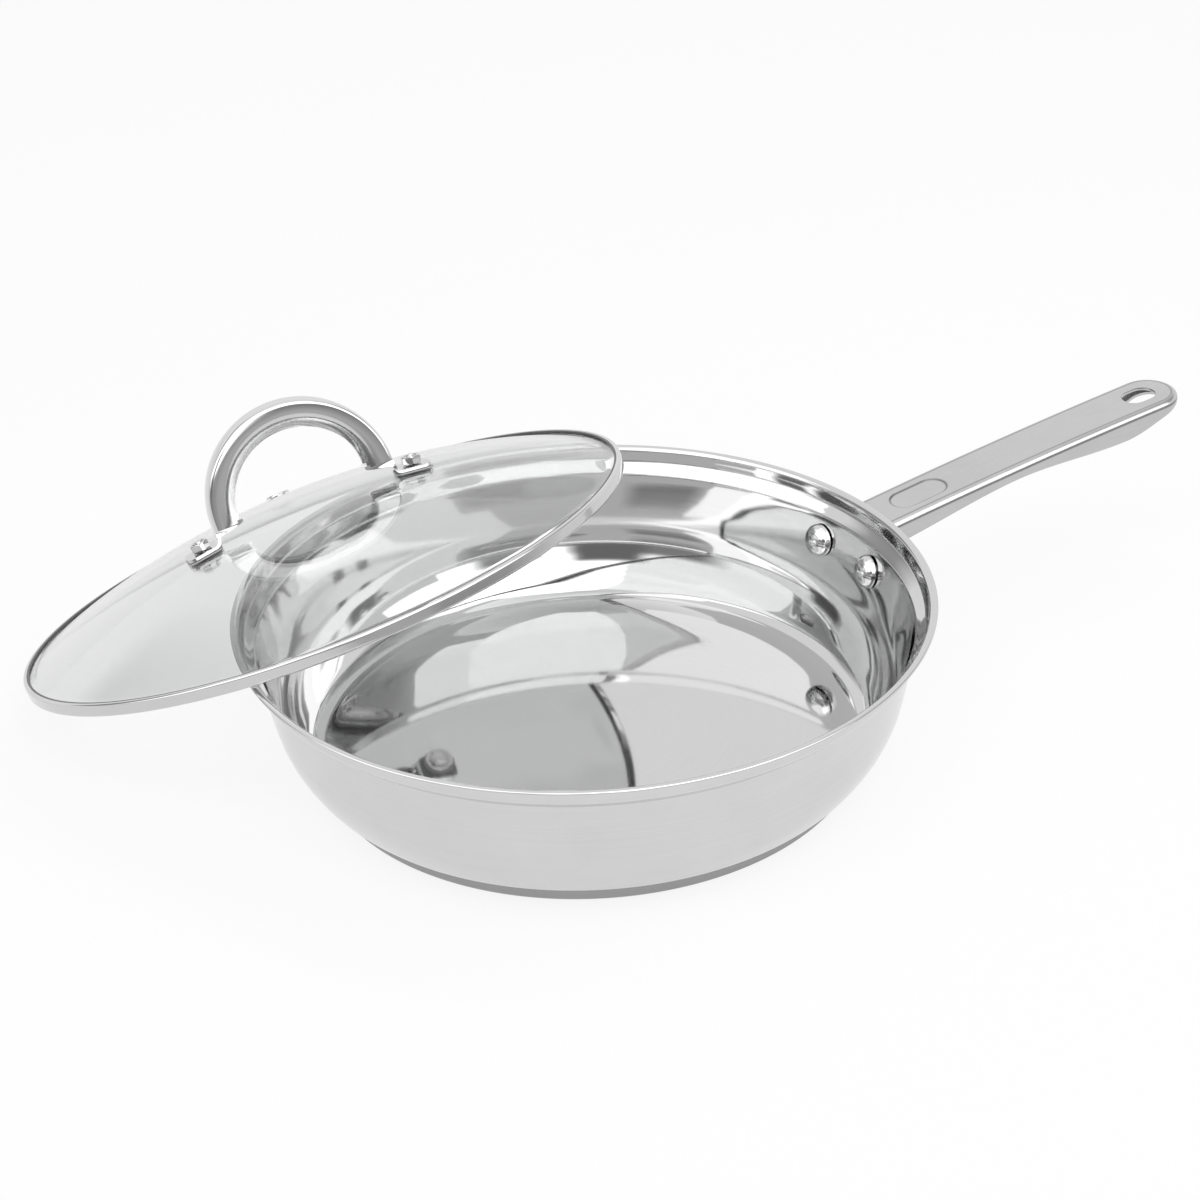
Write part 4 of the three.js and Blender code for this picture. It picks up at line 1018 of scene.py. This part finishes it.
# %% Set the fasteners on both feet
LOWER_PAD_RADIUS, WASHER_RADIUS = 6.4, 5.6
screw_to_end = LOOP_RADIUS - LOOP_SHEET / 2 + FOOT_LENGTH - SCREW_REACH
pad = pad_shape(screw_to_end + PAD_MARGIN, FOOT_HALF + PAD_MARGIN, GAP, PAD_TOP)
lower_pad = ring_shape(LOWER_PAD_RADIUS, SOFT_LOW, SOFT_TOP)
washer = ring_shape(WASHER_RADIUS, WASHER_LOW, WASHER_TOP)
shapes = {
    "lid_gasket": (pad, soft_silicone, "grey_silicone", True),
    "lid_nut": (nut_shape(), bright_steel, "bright_steel", True),
    "lid_screw": (screw_shape(), bright_steel, "bright_steel", False),
    "lid_lower_gasket": (lower_pad, soft_silicone, "grey_silicone", True),
    "lid_washer": (washer, bright_steel, "bright_steel", True),
}
for side in ("left", "right"):
    for kind, (shape, finish, slot, ring_rows) in shapes.items():
        add_piece(f"{kind}_{side}", on_foot(shape, side), quads(len(shape), FASTENER_STEPS, ring_rows, True),
                  finish, "lid", [f"{kind}_{side}"], sharp=30)

# %% [markdown]
# ## The steam vent
# An eyelet is clenched over both faces of the glass. It is a turned ring, set square to the dome where the
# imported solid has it.

# %% Turn the eyelet
VENT_REACH, VENT_BORE, VENT_SLEEVE, VENT_FLANGE, VENT_SHEET = 78.0, 2.4, 0.8, 5.0, 0.8
VENT_EASE, VENT_FOLD, VENT_TAPER, VENT_SPACING = 0.35, 0.1, 0.4, 1.0
sleeve, vent_top = VENT_BORE + VENT_SLEEVE, GAP + VENT_SHEET
under_glass = -GLASS - GAP
vent_profile = rounded(
    [(VENT_BORE, under_glass - VENT_SHEET), (VENT_FLANGE, under_glass - VENT_SHEET),
     (VENT_FLANGE, under_glass), (sleeve, under_glass), (sleeve, GAP), (VENT_FLANGE, GAP),
     (VENT_FLANGE - VENT_TAPER, vent_top), (VENT_BORE, vent_top)],
    [0, VENT_EASE, VENT_EASE, VENT_FOLD, VENT_FOLD, VENT_FOLD, VENT_EASE, 0], VENT_SPACING)
vent_place = (node_points("steam_vent_eyelet").mean(0) - lid_origin) @ lid_axes.T
vent_bearing = math.atan2(vent_place[1], vent_place[0])
vent_lean = math.asin(VENT_REACH / DOME_RADIUS)
lean_c, lean_s = math.cos(vent_lean), math.sin(vent_lean)
vent_axes = np.array([[lean_c, 0, -lean_s], [0, 1, 0], [lean_s, 0, lean_c]])
vent_points = turned(vent_profile, SMALL_STEPS) @ vent_axes + [VENT_REACH, 0, dome_height(VENT_REACH)]
add_piece("steam_vent_eyelet", on_lid(vent_points @ turn_about_z(vent_bearing).T),
          turned_faces(vent_profile, SMALL_STEPS), bright_steel, "lid",
          ["steam_vent_eyelet"])

# %% [markdown]
# ## The floor
# The floor is plain and pale. For the eye, for mirrors and for glass it also glows a little, so that it is
# nearly as white as the background, and the paint under the glow keeps the pan's soft shadow.

# %% Lay the floor
FLOOR_HALF, FLOOR_LOW = 4.0, -0.2 * MM
FLOOR_PAINT, FLOOR_GLOW, GLOW_SHARE, MIRROR_SHARE = 0.85, 1.06, 0.8, 0.85
corners = np.array([[-1, -1, 0], [1, -1, 0], [1, 1, 0], [-1, 1, 0]]) * FLOOR_HALF + [0, 0, FLOOR_LOW]
floor_mesh = bpy.data.meshes.new("floor")
floor_mesh.from_pydata(corners.tolist(), [], [[0, 1, 2, 3]])
floor = bpy.data.objects.new("floor", floor_mesh)
bpy.context.scene.collection.objects.link(floor)


def bare_wire(owner):
    """Empties the node tree of a material or a world and gives a wire for it."""
    owner.use_nodes = True
    owner.node_tree.nodes.clear()
    return Wire(owner.node_tree)


def seen_rays(wire, glossy=1.0):
    """1 for rays that the eye or glass sends out, a share of it for a mirror's rays, and 0 for the rest."""
    eye, mirror, glass = (wire.node("LightPath", out=kind)
                          for kind in ("Is Camera Ray", "Is Glossy Ray", "Is Transmission Ray"))
    return wire.math("MAXIMUM", wire.math("MAXIMUM", eye, glass), glossy * mirror)


floor_look = bpy.data.materials.new("white_floor")
wire = bare_wire(floor_look)
paint = wire.node("BsdfDiffuse", None, {"Color": grey(FLOOR_PAINT)})
glow = wire.node("Emission", None, {"Color": grey(1.0), "Strength": FLOOR_GLOW})
glow_share = GLOW_SHARE * seen_rays(wire, MIRROR_SHARE)
mixed = wire.node("MixShader", None, {0: glow_share, 1: paint, 2: glow})
wire.node("OutputMaterial", None, {"Surface": mixed})
floor_mesh.materials.append(floor_look)
print("floor", 2 * FLOOR_HALF, "m wide")

# %% [markdown]
# ## World and lamps
# The world is white to the eye, to mirrors and to glass, and dimmer as plain light, so that nothing burns
# out. Three soft lamps stand high round the pan and give the floor its shadow. Mirrors and glass don't
# see the lamps: what they see is the tent of the next step.

# %% Light the stage
PLAIN_LIGHT, LAMP_DISTANCE, LAMP_RADIANCE = 0.55, 1.3, 2.0
CAMERA_BEARING = math.degrees(math.atan2(pose[1, 3], pose[0, 3]))
world = bpy.data.worlds.new("studio")
bpy.context.scene.world = world
wire = bare_wire(world)
strength = PLAIN_LIGHT + (1 - PLAIN_LIGHT) * seen_rays(wire)
sky = wire.node("Background", None, {"Color": grey(1.0), "Strength": strength})
wire.node("OutputWorld", None, {"Surface": sky})


def studio_place(bearing, rise, distance):
    """A place round the pan: a bearing from the camera towards the picture's right, and an angle above the
    table, both in degrees."""
    turn, rise = np.radians(CAMERA_BEARING + bearing), np.radians(rise)
    flat = np.cos(rise)
    return distance * np.stack([flat * np.cos(turn), flat * np.sin(turn), np.sin(rise) + 0 * turn], axis=-1)


def softbox(name, bearing, rise, size):
    """A lamp that faces the pan. Its power is its radiance times pi times its area."""
    lamp = bpy.data.lights.new(name, "AREA")
    lamp.shape, lamp.size, lamp.size_y = "RECTANGLE", *size
    lamp.energy = LAMP_RADIANCE * math.pi * size[0] * size[1]
    box = bpy.data.objects.new(name, lamp)
    bpy.context.scene.collection.objects.link(box)
    place = studio_place(bearing, rise, LAMP_DISTANCE)
    back = unit(place)
    side = unit(np.cross([0, 0, 1], back))
    box_pose = np.eye(4)
    box_pose[:3, :3] = np.stack([side, np.cross(back, side), back], axis=1)
    box_pose[:3, 3] = place
    box.matrix_world = Matrix(box_pose.tolist())
    box.visible_glossy = box.visible_transmission = False


softbox("softbox_front", -12, 63, (1.3, 0.42))
softbox("softbox_side", 80, 50, (0.6, 0.45))
softbox("softbox_top", 150, 66, (1.1, 0.2))

# %% [markdown]
# ## The tent and the cards
# Bright metal has no look of its own: it shows its surroundings. A photographer of polished metal hangs
# white cloth round the table, so that the metal mirrors soft white fields, and sets up grey cards that
# give its bends a drawing. Each cloth and card here is part of a ball round the pan. Only mirrors and glass
# see them, so they leave the floor's light alone. Their places follow from which way each bright and each
# dark field of the photographed metal looks.

# %% Hang the tent and set up the cards
SHEET_STEPS = 17
TENT, OUTER_TENT, CARD, OUTER_CARD, NEAR_CARD = 2.0, 2.05, 1.9, 1.95, 1.8
CARD_FADE = 0.2


def studio_sheet(name, bearings, rises, distance, shades, fade=0.0):
    """Part of a ball round the pan, between two bearings from the camera and two angles above the table.
    Its glow goes evenly from one shade at its lower edge to another at its upper edge, and the sheet thins
    out towards its edges over a share of its size, the fade."""
    sheet = studio_place(np.linspace(*bearings, SHEET_STEPS)[None, :],
                         np.linspace(*rises, SHEET_STEPS)[:, None], distance)
    mesh = bpy.data.meshes.new(name)
    mesh.from_pydata(sheet.reshape(-1, 3).tolist(), [], quads(SHEET_STEPS, SHEET_STEPS).tolist())
    tone = mesh.color_attributes.new("tone", "FLOAT_COLOR", "POINT")
    share = np.linspace(0, 1, SHEET_STEPS)
    cover = np.clip(np.minimum(share, 1 - share) / fade, 0, 1) if fade else np.ones(SHEET_STEPS)
    shade = np.repeat(np.linspace(*shades, SHEET_STEPS), SHEET_STEPS)
    tones = np.stack([shade, shade, shade, np.outer(cover, cover).ravel()], axis=1)
    tone.data.foreach_set("color", tones.astype(np.float32).ravel())
    look = bpy.data.materials.new(name)
    wire = bare_wire(look)
    colour, alpha = (wire.node("Attribute", {"attribute_name": "tone"}, out=kind)
                     for kind in ("Color", "Alpha"))
    glow = wire.node("Emission", None, {"Color": colour})
    mixed = wire.node("MixShader", None, {0: alpha, 1: wire.node("BsdfTransparent"), 2: glow})
    wire.node("OutputMaterial", None, {"Surface": mixed})
    mesh.materials.append(look)
    cloth = bpy.data.objects.new(name, mesh)
    bpy.context.scene.collection.objects.link(cloth)
    cloth.visible_camera = cloth.visible_diffuse = cloth.visible_shadow = False


studio_sheet("white_tent", (-90, -18), (12, 80), TENT, (1.9, 1.9))
studio_sheet("front_tent", (-19, 58), (12, 85), TENT, (2.8, 2.8))
studio_sheet("right_tent", (57, 86), (18, 62), TENT, (2.4, 2.4))
studio_sheet("left_tent", (-112, -90), (42, 80), TENT, (1.9, 1.9))
studio_sheet("top_tent", (-180, 180), (68, 90), OUTER_TENT, (1.7, 1.1))
studio_sheet("low_card", (-95, 110), (0, 13), OUTER_CARD, (0.4, 0.4), CARD_FADE)
studio_sheet("front_card", (-60, 12), (0, 23), CARD, (0.3, 0.3), CARD_FADE)
studio_sheet("loop_card", (12, 45), (0, 25), CARD, (0.7, 0.1), CARD_FADE)
studio_sheet("left_card", (-150, -92), (8, 38), CARD, (0.25, 0.5), CARD_FADE)
studio_sheet("right_card", (86, 150), (25, 60), CARD, (0.35, 0.7), CARD_FADE)
studio_sheet("camera_card", (-28, 8), (8, 32), NEAR_CARD, (0.2, 0.2), CARD_FADE)

# %% [markdown]
# ## Colours and mirrors
# The picture shows colours as they are written, and mirrors in the bowl may see each other eight times. The
# finished look has to stay in the box of the imported solids.

# %% Set colours and mirrors
MIRROR_DEPTH = 8
bpy.context.scene.view_settings.view_transform = "Standard"
bpy.context.scene.cycles.glossy_bounces = MIRROR_DEPTH
bpy.context.view_layer.update()
